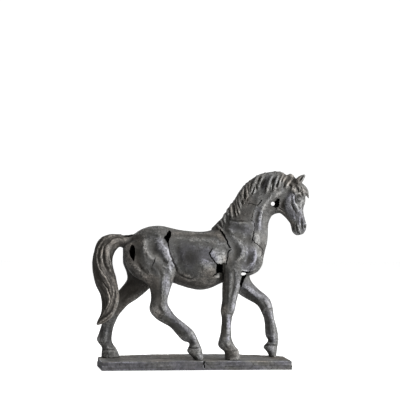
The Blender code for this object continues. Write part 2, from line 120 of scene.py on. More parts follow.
NEAR_HIND = [
    (-116, 246, -60, 252, -15, 14),
    (-134.5, 234, -55, 242, -16.5, 16),
    (-135.5, 219, -50, 230, -18, 18),
    (-132.5, 200, -43, 208, -21, 18.5),
    (-122.5, 184, -38.5, 190, -24, 17.5),
    (-105, 172, -41, 174, -26, 15.5),
    (-91, 160, -45, 160, -27, 13.5),
    (-86, 148, -49, 148, -27, 12),
    (-85, 133, -53, 133, -27, 10.5),
    (-88, 117, -52, 124, -27, 10),
    (-84, 106, -47, 115, -27, 10),
    (-73.2, 95, -42, 108, -27, 9.3),
    (-61.2, 87.8, -37, 101.5, -27, 8.6),
    (-48.4, 80.6, -29, 95, -27, 8),
    (-38.4, 70, -18, 86.5, -27, 8),
    (-28, 58.2, -7, 77.5, -27, 8.8),
    (-21, 53, 0, 69, -27, 9.3),
    (-12, 51, 6, 56, -27, 8.6),
    (-11, 46.5, 10.5, 46, -27, 10),
    (-14.5, 39, 13, 40, -27, 11),
    (-15, 34, 15, 31, -27, 11.5),
    (-4, 22, 16.5, 23, -27, 10.5),
    (1, 14, 15, 14, -27, 9),
]
FAR_HIND = [
    (-116, 246, -60, 252, 15, 14),
    (-134.5, 234, -58, 240, 16.5, 16),
    (-136, 219, -56, 228, 18, 18),
    (-135, 200, -58, 200, 21, 18),
    (-128, 182, -66, 178, 24, 16.5),
    (-126.4, 170, -77, 158, 26, 15),
    (-131, 161.5, -92, 143, 27, 13),
    (-141, 149.5, -108, 130, 27, 11.5),
    (-151, 138.5, -122, 121, 27, 10.5),
    (-163, 126, -133, 110, 27, 10),
    (-167.5, 110, -141, 100, 27, 9.3),
    (-171, 94, -147, 88, 27, 8.5),
    (-176.5, 77, -151.5, 76, 27, 8),
    (-180.5, 64, -154, 63, 27, 8.5),
    (-184, 53, -154.5, 52, 27, 9.3),
    (-177.5, 43, -151.5, 44, 27, 8.8),
    (-173.6, 37, -146, 36.5, 27, 10.5),
    (-174.6, 27, -141, 26, 27, 12),
    (-174.6, 14, -137, 14, 27, 12.8),
]
NEAR_FORE = [
    (52, 238, 108, 246, -16, 13),
    (51, 222, 120, 226, -18, 15.5),
    (51, 206, 118, 206, -20, 16),
    (52, 190, 104, 190, -23, 15),
    (53, 176, 90, 177, -25, 13.5),
    (51.6, 160, 86.5, 160, -26, 12),
    (51.4, 145, 83.5, 145, -26, 11),
    (51.4, 130, 79.5, 130, -26, 10),
    (49.5, 119, 77.5, 118, -26, 10),
    (48.5, 110, 76, 110, -26, 10),
    (50.5, 101, 72, 101, -26, 9),
    (51, 92, 70.5, 92, -26, 8),
    (50, 80, 69.7, 80, -26, 7.8),
    (48.6, 67, 69.7, 67, -26, 8.3),
    (45.6, 56, 71.5, 56, -26, 9.3),
    (44, 46, 75.5, 47.5, -26, 9.8),
    (49.6, 38.6, 79.5, 41.5, -26, 9.2),
    (56, 34, 83.8, 37, -26, 10.5),
    (57.5, 27, 86.5, 28, -26, 12),
    (58, 14, 88.5, 14, -26, 12.8),
]
FAR_FORE = [
    (52, 238, 108, 246, 16, 13),
    (53, 222, 120, 226, 18, 15.5),
    (58, 206, 119, 208, 20, 16),
    (66, 188, 114, 196, 23, 14.5),
    (74, 167, 112, 184, 25, 13.5),
    (84, 147, 112.4, 171.2, 26, 12.5),
    (95, 137.6, 119.2, 160.6, 26, 12),
    (108.4, 129.6, 131.6, 148.8, 26, 11),
    (121, 123, 143.8, 139.4, 26, 10.3),
    (129, 116.5, 152.4, 130.4, 26, 10.2),
    (134, 108, 157.5, 117, 26, 10),
    (138.5, 98, 159.5, 104, 26, 9),
    (141, 90, 161, 93, 26, 8),
    (142.2, 79, 165, 80, 26, 7.8),
    (142.8, 67, 168.2, 67, 26, 8.3),
    (144.5, 58, 169.5, 57, 26, 9.5),
    (149, 51, 170.2, 51, 26, 8.6),
    (147, 46.5, 169, 45, 26, 9.3),
    (141, 40.5, 168, 39, 26, 10.8),
    (140, 36, 167, 32, 26, 11.3),
    (147, 28, 166.2, 25, 26, 10.3),
    (154, 14, 165, 14, 26, 8.5),
]
TAIL = [
    (-110, 256, -114, 240, -1, 8),
    (-118, 257.5, -122, 228.5, -1, 9.5),
    (-134, 257.2, -134, 229, -2, 10.5),
    (-147, 256.8, -142, 232, -2, 11),
    (-161, 256.5, -147, 227.5, -3, 12),
    (-175.4, 251.4, -151.5, 221.5, -3, 12.5),
    (-185.6, 241, -154.2, 214.5, -3, 13),
    (-190.5, 226, -155.5, 206, -3, 13.3),
    (-194, 208, -154.5, 196, -3, 13.5),
    (-194, 190, -151.5, 184, -3, 13.5),
    (-191, 172, -148, 170, -3, 13.3),
    (-186, 156, -145, 157, -3, 13),
    (-179, 142, -142.5, 144, -3, 12.5),
    (-176, 127, -142.5, 131, -3, 12),
    (-176, 113, -146, 118, -3, 11),
    (-178, 103, -152, 104, -3, 9.5),
    (-182, 95, -160, 94, -3, 7.5),
    (-185.5, 87, -172, 86.5, -3, 5),
    (-186.5, 82, -180, 83, -3, 2.5),
]
MANE = [
    (32.5, 268, 58, 256, 0, 6),
    (44.4, 279.6, 68, 265, 0, 7),
    (57.4, 293, 78, 282, 0, 7.5),
    (66, 308.6, 88, 298, 0, 7.5),
    (76.8, 322.4, 98, 310, 0, 7.5),
    (86, 338.5, 110, 322, 0, 8),
    (96.5, 352, 120, 332, 0, 8),
    (110, 363.5, 130, 340, 0, 8),
    (125, 373, 140, 346, 0, 8.5),
    (142, 377.4, 152, 350, 0, 8.5),
    (159, 379.6, 164, 352, 0, 8.5),
    (172, 378, 174, 352, 0, 8),
    (180, 372.8, 180, 351, 0, 8),
    (189, 376, 186, 350, 0, 8),
    (198, 366, 193, 346, 0, 7),
]

# Locks of the mane that stand out, (half width, points from the crest down to the tip).
MANE_LOCKS = [
    (3.4, [(44, 276), (51, 268), (57, 261)]),
    (3.2, [(52, 284), (56, 275), (58, 265)]),
    (3.4, [(60, 298), (60, 286), (60.5, 277)]),
    (2.6, [(65, 306), (66.5, 297), (67, 291)]),
    (3.6, [(70, 318), (72.5, 305), (73.5, 295), (74, 287.5)]),
    (2.7, [(77, 322), (80.5, 307), (82, 298), (82.5, 290)]),
    (2.6, [(82, 325), (85, 309), (87, 301), (89, 295)]),
    (2.8, [(87, 334), (88.5, 321), (89.5, 312), (90.6, 305)]),
    (2.6, [(91, 340), (92.5, 329), (92.5, 318)]),
    (3.0, [(95, 352), (95, 337), (95.8, 326), (98, 315)]),
    (3.2, [(101, 356), (102.5, 342), (103.5, 331), (102, 325), (99.5, 319.5)]),
    (2.8, [(107, 362), (107.8, 348), (107, 338), (106, 330)]),
    (4.0, [(123, 371), (118, 358), (114, 349), (111, 341), (108.5, 335), (106.8, 330)]),
    (3.0, [(127, 372), (121, 355), (118.8, 344), (116.5, 337), (112, 329.5)]),
    (3.6, [(138, 377), (131, 363), (127, 355), (125.3, 348), (124.5, 342.5)]),
    (4.0, [(157, 380), (148, 364), (144.2, 352), (142.5, 345), (140.8, 339), (138, 332.5)]),
    (2.8, [(152, 360), (149, 350), (149.5, 340)]),
    (3.8, [(167, 379), (160, 362), (157.3, 350), (155.3, 343), (152.5, 337)]),
    (3.2, [(174, 376), (167.5, 361), (164.5, 351), (159, 344)]),
    (2.4, [(181, 372), (173, 361), (169, 352)]),
    (3.2, [(193, 372), (185, 358.5), (181, 351.5), (177.4, 346)]),
]
# Locks over the brow also give how far each point stands off the middle plane.
BROW_LOCKS = [
    (3.4, [(196, -1, 366), (206, -1, 357), (214.6, -1, 349), (219.6, -1, 341), (221.6, -1, 333),
           (224.6, -1, 327)]),
    (2.8, [(198, -3, 364), (207, -4, 355), (213, -5, 347), (216, -5.5, 338), (216.5, -6, 331)]),
    (2.4, [(198, -6, 361), (205, -8.5, 353), (209, -10, 345), (211, -11, 338), (212.5, -11, 332)]),
    (2.6, [(194, -8, 358), (199, -12, 352), (202, -13.5, 348), (200, -14.5, 343), (195, -15.5, 340)]),
    (2.6, [(205, -12, 346), (205, -13.5, 341), (202, -15, 337), (196, -15.8, 336)]),
    (2.0, [(190, -11, 354), (189, -14, 348), (188, -15.5, 342), (187.5, -16, 337)]),
    (2.2, [(194, -13, 349), (192.5, -15.6, 343), (194.5, -16.2, 338)]),
]


class Side(Enum):
    """Which skin a mark is cut in."""

    NEAR = "near"
    BOTH = "both"
    INNER_FAR = "the far legs' skin that faces the near side"


@dataclass(frozen=True)
class Stroke:
    """One pull of the carver's tool along a path on the sheet, and the tone painted there:
    paler for wear and painted highlights, darker for grime and painted shade.

    A stroke is strongest on its path. It falls away to its radius, and a fading one also towards its ends.
    """

    points: Path
    radius: float
    rise: float
    tone: float
    fall: float = 2.0
    fading: bool = True
    side: Side = Side.BOTH


near = partial(Stroke, side=Side.NEAR)
inner = partial(Stroke, side=Side.INNER_FAR)

# Each is points, radius, rise, tone, and where they differ from the usual, its fall and fading.
# A tone above 0 paints the skin paler: wear on ridges and painted highlights on faces turned to the light.
# A tone below 0 paints it darker: grime, and painted shade in gaps, behind forms and on faces turned away.
STROKES = [
    # Quarters and thighs.
    Stroke([(-82, 238), (-78, 226), (-73, 218)], 14, -2.8, -0.06),
    Stroke([(-84, 240), (-82, 230)], 8, 0.0, -0.2),
    Stroke([(-96, 248), (-95, 237), (-93, 228), (-87, 219), (-79, 212), (-70, 210)], 7.0, 1.3, 0.16),
    # Painted shade in the hollow between the buttock's break and the thigh.
    Stroke([(-109, 247), (-109, 226), (-105, 208), (-96, 190)], 12, -2.3, -0.75, 1.2),
    Stroke([(-100, 264), (-84, 266), (-62, 262)], 14, 0.0, -0.12, 1.0),
    Stroke([(-112, 228), (-105, 217)], 9, 0.0, -0.3),
    Stroke([(-66, 246), (-57, 228), (-49, 208), (-44, 190)], 13, 3.6, 0.1),
    Stroke([(-34, 240), (-30, 218), (-25, 200), (-20, 186)], 9, -1.1, -0.3),
    near([(-47, 228), (-44.6, 218), (-41, 209), (-38, 202), (-35, 195), (-32.5, 188), (-31, 182)], 2.6, -1.9,
         -0.6),
    Stroke([(-68, 248), (-61, 234), (-54, 224), (-48.5, 213), (-45, 203), (-42, 192), (-38, 180)], 9, 0.6,
           0.5, 1.0),
    Stroke([(-63, 241), (-57, 231), (-50.5, 222), (-45, 211), (-40.5, 202), (-37.5, 192), (-35, 182)], 3.6,
           0.7, 0.45),
    Stroke([(-55, 208), (-50, 200), (-47, 192), (-44, 184), (-42, 176)], 3.6, 0.8, 0.4),
    Stroke([(-58, 211), (-55, 204), (-51, 198)], 5.0, -1.4, -0.55),
    Stroke([(-64, 200), (-57, 195), (-50, 192)], 3.0, 0.7, 0.18),
    Stroke([(-84, 212), (-78, 206), (-68, 204)], 6.0, 0.2, 0.02),
    near([(-121, 203), (-113, 195.5), (-105, 187), (-97, 178.5), (-86, 169)], 6.0, 1.6, -0.12),
    near([(-108, 201), (-99, 191), (-90, 182)], 4.6, -1.5, -0.45),
    near([(-125, 192), (-114, 180.5), (-103, 171)], 4.6, -1.1, -0.5),
    Stroke([(-134, 232), (-133, 212), (-127, 196)], 6.0, 0.0, -0.2),
    Stroke([(-88, 256), (-77, 255), (-66, 250)], 4.6, -0.9, -0.3),
    Stroke([(-84, 196), (-79, 188), (-74, 182)], 6.0, -1.3, -0.68),
    Stroke([(-74, 201), (-67, 190)], 8.0, -0.6, -0.75),
    Stroke([(-66, 188), (-62, 180), (-60, 172)], 5.0, -1.3, -0.45),
    Stroke([(-138, 254), (-130, 252), (-122, 254)], 3.4, -1.6, -0.8),
    # Barrel and belly.
    near([(-31, 182), (-20, 176), (-12, 172), (-4, 171.4), (4, 175.4)], 2.0, -1.1, -0.4),
    near([(-33, 178.6), (-20, 172.4), (-11, 168), (-2, 168), (6, 172)], 2.4, 0.8, 0.25),
    near([(-28, 187), (-16, 179), (-6, 175)], 2.4, 0.5, 0.3),
    near([(-16, 255), (6, 255.5), (28, 254), (48, 249)], 3.6, -1.0, -0.26),
    near([(-38, 244), (-16, 241), (8, 239)], 5.0, -0.5, -0.16),
    Stroke([(-42, 257), (-20, 259), (10, 259), (36, 258.5)], 3.6, 0.5, 0.16),
    near([(-36, 252), (-14, 248), (10, 246.5), (34, 244), (60, 236)], 6.4, 0.8, 0.1),
    near([(38, 222), (47, 226), (56, 224)], 6.5, 0.8, 0.16, 1.0, False),
    near([(39, 218), (48, 216), (57, 216)], 7.0, 1.0, 0.42, 0.7, False),
    near([(48, 208), (56, 208)], 9.5, 1.0, 0.62, 0.7, False),
    near([(8, 207), (22, 200), (36, 189)], 11, 0.9, 0.3, 1.0),
    near([(22, 206), (34, 204), (44, 196)], 5, 0.5, 0.25),
    Stroke([(-18, 224), (-4, 212), (2, 196)], 20, -0.8, -1.0, 1.2),
    Stroke([(8, 226), (22, 218), (30, 212)], 11, 0.0, -0.25),
    near([(17, 196), (16, 189), (18.5, 183)], 2.0, -0.7, -0.5),
    near([(22, 210), (30, 207), (36, 204)], 2.2, -0.7, -0.5),
    near([(38, 173), (46, 176), (54, 176)], 4.0, 1.5, 0.22),
    Stroke([(-34, 172), (-8, 160), (24, 158), (44, 166)], 7.0, 0.0, -0.25),
    # Painted shade behind the near foreleg, down the side of the ribs' break.
    near([(53.5, 190), (54.5, 176), (55, 162)], 5.5, -2.2, -1.0, 1.2),
    near([(58.6, 200), (59, 192), (58.4, 184)], 3.6, -2.2, -1.3, 1.2, False),
    # Shoulder, arm and chest.
    Stroke([(74, 273), (86, 270), (99, 266)], 10, -2.0, -0.4),
    Stroke([(69, 268), (74, 258), (83, 248), (92, 236), (97.5, 225), (93, 214), (87.5, 207), (84, 198)], 9,
           1.9, 0.12),
    Stroke([(96, 225), (96, 216)], 5.0, 0.5, 0.36, 1.6, False),
    Stroke([(93, 213), (88, 210)], 4.4, 0.3, 0.3, 1.6, False),
    Stroke([(71, 268), (74, 262)], 4.0, 0.3, 0.35, 1.6, False),
    Stroke([(78, 238), (82, 225), (79, 211)], 10, -2.2, -0.4),
    Stroke([(102, 238), (104, 224), (103, 212)], 4.2, 1.3, 0.25),
    Stroke([(109, 218), (107, 206), (102, 196)], 8.5, -3.2, -0.7),
    Stroke([(120, 230), (119, 214), (117, 202), (113.5, 193)], 5.4, 2.0, 0.56),
    Stroke([(127, 224), (127, 206)], 9, 1.4, 0.15),
    near([(121, 254), (123, 247), (124, 240)], 6.4, 1.0, 0.42, 1.0, False),
    near([(123, 234), (126, 230)], 5.0, 0.6, 0.4),
    Stroke([(95, 187.5), (108, 186.5), (119, 190)], 2.4, 0.9, 0.45),
    # Painted shade along a crack.
    Stroke([(104, 257), (108, 246), (106, 234)], 7.5, -1.4, -0.3),
    near([(52, 262), (55, 257), (60, 252)], 4.0, -1.4, -0.7),
    Stroke([(67, 204), (66, 190)], 9, 1.2, -0.25),
    # Neck.
    Stroke([(148, 324), (138, 314), (132.5, 303), (129, 290), (127, 276), (126, 262)], 6.0, 1.6, 0.4),
    Stroke([(127, 306), (122.5, 293), (121, 279), (120, 268)], 6.5, -1.8, -0.36),
    Stroke([(145, 306), (139, 290), (137, 272), (135, 250)], 6.5, -0.8, 0.2),
    Stroke([(134, 310), (134, 296), (133, 280)], 2.0, -0.8, -0.35),
    Stroke([(120, 332), (112, 314), (104, 299)], 9, -1.3, -0.15),
    Stroke([(112, 308), (106, 298), (98, 290)], 14, 0.8, -0.4),
    Stroke([(153, 327), (161, 336), (170, 343)], 10, 2.2, 0.35),
    near([(141, 321), (147, 329), (152, 338)], 4.0, 0.7, 0.45),
    near([(66, 288), (76, 284), (90, 282.6), (103, 282.4), (112, 285.6)], 1.6, -1.0, -0.75),
    near([(74, 281), (90, 279.4), (104, 279)], 3.0, 0.3, 0.12),
    near([(62, 286), (66, 279), (64, 272)], 4.5, -1.2, -0.5),
    # Head.
    Stroke([(182, 324), (184, 313)], 12.5, 2.0, 0.0, 2.0, False),
    Stroke([(186, 333), (187, 326)], 4.2, 0.5, 0.3, 1.6, False),
    Stroke([(190, 326), (189.5, 318)], 3.0, -0.8, -0.4),
    Stroke([(193, 334), (195, 325), (197, 317), (201, 309.5), (206, 300)], 3.8, 2.1, 0.55),
    Stroke([(190, 319), (193, 311), (196, 304.5), (199, 299)], 2.3, -2.2, -0.9),
    Stroke([(197.5, 331), (197, 323), (200, 317.5)], 2.0, -2.2, -0.95),
    Stroke([(198, 329.5), (204, 331.5), (210, 329)], 2.0, -1.6, -0.7),
    Stroke([(202.8, 325.8), (203.6, 325.4)], 3.4, 2.0, -0.6, 1.3, False),
    Stroke([(202, 322.6), (205, 321.8), (208, 323)], 1.7, -1.3, -0.8),
    Stroke([(196, 335.5), (202, 337.5), (209, 335)], 3.0, 1.8, 0.75),
    Stroke([(200.5, 315.5), (206, 313.5)], 5.0, 0.7, 0.6, 1.6, False),
    Stroke([(209, 324), (208.5, 307), (209.5, 292)], 4.6, 0.8, 0.36),
    Stroke([(210, 288), (210.3, 279), (212, 271), (213, 265)], 2.8, -2.4, -0.75),
    Stroke([(206, 290), (207, 280), (207.6, 273)], 2.3, 1.2, 0.4),
    Stroke([(202.4, 279), (204, 271), (206, 265.5), (208.5, 260.5)], 2.2, 1.6, 0.6),
    Stroke([(199.6, 278), (200.6, 270), (202, 264), (205, 259)], 2.0, -2.4, -1.0),
    Stroke([(217.4, 273), (218.6, 271.5)], 2.8, -3.2, -1.0, 1.4, False),
    Stroke([(213, 281), (217, 279), (219.5, 275)], 2.2, 1.2, 0.3),
    Stroke([(165, 309.5), (170, 305.5), (176, 300.5)], 1.8, -1.2, -0.8),
    Stroke([(167, 305.5), (173, 300.5), (179, 296.5)], 1.5, 0.4, 0.15),
    Stroke([(158, 303), (169, 299.5), (180, 291)], 7.0, 0.0, -0.55),
    Stroke([(178, 304), (180, 299), (181, 294)], 2.4, -1.0, -0.6),
    Stroke([(193, 277), (194.5, 269), (198, 261)], 3.2, -1.1, -0.4),
    Stroke([(172, 322), (174, 312), (178, 304)], 5.0, -0.8, -0.35),
    Stroke([(194, 296), (196, 289), (198, 283)], 2.4, 0.7, 0.4),
    Stroke([(206, 362), (209.5, 367), (212, 371)], 2.2, -2.2, -0.8),
    Stroke([(209.5, 360), (212.5, 366), (214, 370)], 1.6, 0.4, 0.5),
    Stroke([(208, 345), (209.5, 339), (212.5, 332)], 2.0, -2.0, -0.95),
    Stroke([(202, 347), (203.6, 342)], 2.0, -2.2, -1.0, 1.4, False),
    Stroke([(191, 340), (194, 337), (196, 333)], 1.9, -1.6, -0.8),
    Stroke([(195, 345), (195, 340)], 2.6, 0.4, 0.8, 1.4, False),
    Stroke([(211, 349), (214.5, 342), (216, 333)], 2.2, 0.6, 0.55),
    Stroke([(216, 347), (219.5, 341)], 2.2, -0.8, -0.6),
    # Deep gaps between the mane's locks, carved and painted dark as shade.
    Stroke([(68.5, 292), (68.5, 285)], 2.6, -2.4, -0.8),
    Stroke([(77, 313), (78.5, 301), (80.2, 290)], 1.9, -2.4, -0.8),
    Stroke([(83.6, 305), (86, 297)], 1.7, -2.0, -0.75),
    Stroke([(84.6, 320), (87, 310)], 1.6, -1.8, -0.7),
    Stroke([(93, 324), (94, 314)], 2.2, -1.8, -0.7),
    Stroke([(98.6, 343), (98.4, 332), (98.6, 324)], 1.9, -2.4, -0.8),
    Stroke([(105.6, 329), (102, 320)], 1.8, -1.8, -0.75),
    Stroke([(117.4, 348), (114.4, 341), (111.6, 336)], 1.8, -2.4, -0.8),
    Stroke([(120.8, 354), (121.6, 344)], 1.9, -2.0, -0.75),
    Stroke([(110.6, 359), (109.6, 350), (108.4, 341)], 1.7, -1.8, -0.7),
    Stroke([(138, 366), (134, 355), (131.5, 346)], 4.8, -2.6, -0.75),
    Stroke([(138.8, 352), (138.4, 341)], 1.9, -2.0, -0.75),
    Stroke([(156, 366), (152, 359), (150, 354)], 3.2, -2.6, -0.8),
    Stroke([(154, 355), (152.3, 343)], 1.8, -2.4, -0.8),
    Stroke([(164, 361), (162, 353), (160, 348)], 1.9, -2.4, -0.8),
    Stroke([(172.4, 367), (170, 357)], 1.7, -2.0, -0.75),
    Stroke([(179, 363), (176, 354), (173.6, 348)], 1.9, -1.8, -0.7),
    Stroke([(186, 356), (187.5, 351.5), (191, 350)], 2.6, -1.6, -0.6),
    Stroke([(186.5, 362.5), (182, 354.5), (177.4, 347.5)], 1.4, 0.8, 0.6),
    Stroke([(192, 367), (186.5, 359), (184, 352)], 1.3, 0.5, 0.3),
    Stroke([(178, 366), (174.5, 359.5), (171, 354)], 1.3, 0.7, 0.35),
    Stroke([(170, 366), (167, 359), (163.5, 352)], 1.4, 0.8, 0.4),
    Stroke([(189, 362), (198, 359)], 8, 0.0, -0.5),
    Stroke([(98, 356), (122, 374), (150, 380), (173, 377), (180, 373)], 5.5, 0.0, -0.5),
    Stroke([(128, 368), (124, 358)], 2.2, -1.6, -0.8),
    Stroke([(57, 277), (56, 270)], 2.2, -1.8, -0.7),
    Stroke([(176, 368), (189, 367), (200, 361)], 9, 0.0, -0.3),
    # The tail, from the dock down: masses first, then strands and the gaps between them, the gaps painted dark
    # as shade.
    Stroke([(-150, 256), (-172, 246), (-186, 226), (-188, 200), (-184, 176), (-176, 150), (-173, 126),
            (-174, 104)], 11, -0.6, -0.62, 0.8),
    Stroke([(-134, 245), (-150, 243.5), (-160, 236), (-165, 225), (-165, 212), (-162, 198), (-158, 184),
            (-153, 170), (-149, 155), (-147, 140), (-148, 124), (-153, 110), (-161, 99), (-174, 89)], 7.5,
           2.4, 0.04, 1.2),
    Stroke([(-167, 233), (-167.5, 216)], 5.5, 0.4, 0.22, 1.4, False),
    Stroke([(-149, 148), (-147.5, 126)], 4.6, 0.4, 0.1),
    Stroke([(-163, 243), (-170.5, 231), (-172, 214), (-169, 199), (-163.5, 187), (-158, 178)], 4.2, -2.8,
           -0.8),
    Stroke([(-168, 251), (-178, 240), (-184.5, 225), (-185.5, 212), (-184, 199), (-179.5, 189), (-174, 180.5),
            (-168, 171.5), (-162.5, 163), (-159.5, 154), (-158, 142)], 2.2, 1.8, 0.66),
    Stroke([(-179, 205), (-176, 192), (-170, 181), (-163, 171), (-157, 160), (-154, 146)], 1.8, 0.9, 0.2),
    Stroke([(-160, 246), (-169, 237), (-175, 226), (-177.5, 214), (-175, 203)], 1.9, 1.5, 0.52),
    Stroke([(-174, 239), (-180.4, 226), (-181.8, 213), (-180, 202)], 1.9, -1.8, -0.9),
    Stroke([(-189, 224), (-190, 208), (-188.4, 192)], 1.8, 0.5, 0.2),
    Stroke([(-187, 188), (-182, 175), (-174, 163)], 4.6, -1.8, -1.0),
    Stroke([(-152, 236), (-158, 225), (-159, 210), (-156.5, 196), (-152.5, 184)], 1.5, -1.1, -0.7),
    Stroke([(-143, 240), (-152, 237.5), (-160, 228)], 1.6, -0.9, -0.6),
    Stroke([(-136, 248.5), (-150, 249.5), (-161, 244)], 1.8, -1.4, -0.8),
    Stroke([(-136, 253.5), (-150, 255), (-164, 251), (-175, 242), (-182, 231)], 1.7, 0.9, 0.35),
    Stroke([(-164, 212), (-161.5, 199), (-157, 186)], 1.5, -1.0, -0.6),
    Stroke([(-161, 216), (-160.5, 203), (-157, 190)], 1.5, 0.6, 0.4),
    Stroke([(-157, 200), (-153.5, 186), (-149.5, 170)], 1.5, 0.6, 0.35),
    Stroke([(-178, 168), (-171, 158.5), (-165.5, 149.5), (-162, 141), (-161, 130), (-164, 119), (-169, 110),
            (-175, 100)], 2.0, 1.6, 0.56),
    Stroke([(-174, 166), (-167, 156), (-161.5, 147), (-159.5, 139)], 1.8, -1.8, -1.0),
    Stroke([(-184, 170), (-178, 158.5), (-171, 147)], 1.6, 0.8, 0.5),
    Stroke([(-187, 166), (-181, 155), (-175, 143)], 1.6, 0.7, 0.4),
    Stroke([(-181, 164), (-174.5, 152), (-168, 141)], 1.8, -1.4, -0.9),
    Stroke([(-178, 142), (-173, 128), (-171, 114)], 5.0, -1.9, -0.7),
    Stroke([(-168.5, 138), (-166.5, 124), (-168.5, 113)], 1.7, -1.5, -1.0),
    Stroke([(-155, 158), (-153.5, 143), (-156, 130), (-160, 119), (-166, 109)], 2.0, 1.0, 0.24),
    Stroke([(-151.5, 158), (-150.5, 140), (-152, 125), (-156, 114)], 1.6, -1.2, -0.7),
    Stroke([(-154, 118), (-159, 108.5), (-166, 101.5), (-174, 96)], 2.8, -2.2, -0.75),
    Stroke([(-163, 101), (-172, 93), (-181, 86)], 2.6, 0.8, 0.06),
    Stroke([(-168, 104), (-176, 95), (-183, 87)], 1.5, -1.0, -0.7),
    Stroke([(-156, 104), (-165, 95), (-176, 88)], 1.5, -0.8, -0.5),
    # Near legs, each with a painted highlight on its front plane, turned to the light, and painted shade on the
    # plane behind.
    near([(-53, 180), (-52.5, 155), (-53.5, 135), (-54.5, 119)], 8, 1.3, 0.34, 0.7),
    near([(-72, 180), (-71.5, 155), (-72, 135), (-73, 118)], 11, -0.5, -0.45, 0.7),
    near([(-60.5, 178), (-60, 155), (-61, 135), (-62, 121)], 3.0, 1.1, 0.05),
    near([(-57, 122), (-53, 113), (-46, 104)], 6.5, 0.7, 0.36, 1.0),
    near([(-67, 122), (-64, 114), (-58, 106)], 4.4, -1.3, -0.5),
    near([(-48, 104), (-33, 94), (-18, 80.5), (-6, 67)], 5.0, 1.6, -0.1, 0.9),
    near([(-62, 100), (-46, 89), (-29, 74.5), (-13, 59)], 6.5, -1.0, -0.7, 0.8),
    near([(-2, 66), (3, 58), (5, 50)], 4.0, 1.4, 0.5, 1.4),
    near([(-9, 58), (-4, 52), (0, 46)], 4.6, -1.3, -0.5),
    near([(-11, 39.5), (0, 38.5), (10, 38)], 1.8, -1.4, -0.7, 2.0, False),
    near([(-9, 35), (2, 35), (12, 36)], 2.4, 0.8, 0.12, 2.0, False),
    near([(11, 38), (12.5, 29), (13, 22)], 3.6, 0.6, 0.45),
    # Painted shade under the hoof, where it meets the slab.
    near([(-10, 30), (-3, 23), (6, 18), (18, 17)], 3.8, 0.0, -0.9),
    near([(8, 29.5), (15, 30)], 1.2, -0.6, -0.4, 2.0, False),
    near([(8, 25), (15, 25.5)], 1.2, -0.6, -0.4, 2.0, False),
    near([(61, 190), (61, 160), (61, 135), (60.5, 110)], 7.5, -0.4, -0.4, 0.7),
    near([(58, 172), (57.5, 150), (57.5, 130)], 1.5, 0.6, 0.3),
    near([(66.5, 186), (66.5, 160), (66, 138), (65, 124)], 3.0, -0.7, -0.3),
    near([(72, 184), (71.5, 162), (70.5, 142), (69, 126)], 3.4, 0.4, 0.0),
    near([(78, 186), (79, 166), (76.5, 149), (74, 138)], 4.0, -1.5, -0.35),
    near([(90, 178), (87.5, 163), (84, 150), (80.5, 137), (77.5, 124), (76, 110)], 4.8, 1.6, 0.42, 1.0),
    near([(77, 121), (75, 113)], 5.0, 0.9, 0.25, 1.6, False),
    near([(60, 120), (59, 108)], 4.4, 1.0, -0.15),
    near([(64, 104.5), (70, 103.5), (77, 104)], 1.8, -1.0, -0.5),
    near([(69, 102), (68.5, 85), (68.5, 69), (69, 57)], 4.4, 1.2, 0.68, 0.8),
    near([(60.5, 102), (60, 84), (60, 64)], 4.4, -0.8, -0.45, 0.8),
    near([(68, 56), (69.5, 47)], 5.2, 1.0, 0.25, 1.6, False),
    near([(58, 54), (56, 44)], 7.0, 0.8, -0.3, 2.0, False),
    near([(60, 49), (65, 40), (71, 35)], 3.2, -1.1, -0.4),
    near([(75, 46), (81, 38), (86, 33)], 3.2, 0.5, 0.2),
    near([(62, 31), (74, 32), (86, 34)], 1.6, -0.7, -0.35, 2.0, False),
    # Painted shade under the hoof, where it meets the slab.
    near([(64, 26), (80, 25)], 9.0, 0.0, -0.5, 1.0, False),
    # Far legs, as they show between the near ones, painted darker where they lie in shade.
    inner([(-98, 168), (-117, 154), (-134, 140), (-148, 124)], 17, 0.0, -0.75, 0.6),
    inner([(-110, 150), (-125, 138), (-140, 124)], 5, -1.5, -0.2),
    inner([(-150, 112), (-157, 98), (-162, 84)], 5, 0.8, 0.1),
    inner([(-164, 80), (-165.5, 68), (-168, 54)], 4.4, 1.2, 0.14, 1.2),
    inner([(-174, 84), (-175, 68), (-177, 54)], 3.6, -1.2, -0.4),
    inner([(-157, 76), (-158, 60), (-158, 50)], 3.6, -0.4, -0.3),
    inner([(-165, 46), (-161, 37)], 3.4, 0.9, 0.25),
    inner([(-172, 36), (-160, 36), (-148, 37)], 1.8, -0.8, -0.3),
    # Painted shade under the hoof, where it meets the slab.
    inner([(-168, 24), (-150, 24)], 8, 0.0, -0.25, 1.0, False),
    inner([(-153, 48), (-148, 38), (-144, 28)], 2.8, 0.4, 0.2),
    inner([(96, 162), (107, 152.5), (119, 144), (131, 136)], 6.6, 1.3, 0.34, 1.2),
    inner([(94, 151), (108, 139), (121, 128), (132, 115)], 6.5, -1.2, -0.5, 0.8),
    inner([(112, 161), (126, 150), (140, 138)], 6.0, 0.0, -0.2),
    inner([(142, 128), (148, 118)], 5.2, 1.4, 0.45, 1.0, False),
    inner([(150, 110), (153, 97), (156, 83), (158.5, 67)], 3.6, 1.3, 0.3, 1.0),
    inner([(141, 107), (144.5, 90), (146.5, 74), (147.5, 60)], 4.2, -1.1, -0.5, 0.8),
    inner([(156, 61), (158, 52)], 4.6, 0.9, 0.2, 1.6, False),
    inner([(147, 57), (150, 50), (155, 46)], 3.2, -1.4, -0.55),
    inner([(137, 46), (147, 48), (158, 46.5)], 2.2, 1.1, 0.25, 2.0, False),
    inner([(137, 42.5), (148, 43.5), (159, 42.5)], 1.6, -1.1, -0.5, 2.0, False),
    inner([(155, 40), (157, 29)], 4.2, 0.5, 0.35),
    # Painted shade under the hoof, where it meets the slab.
    inner([(136, 39), (142, 32), (149, 23)], 3.4, 0.0, -0.7),
]
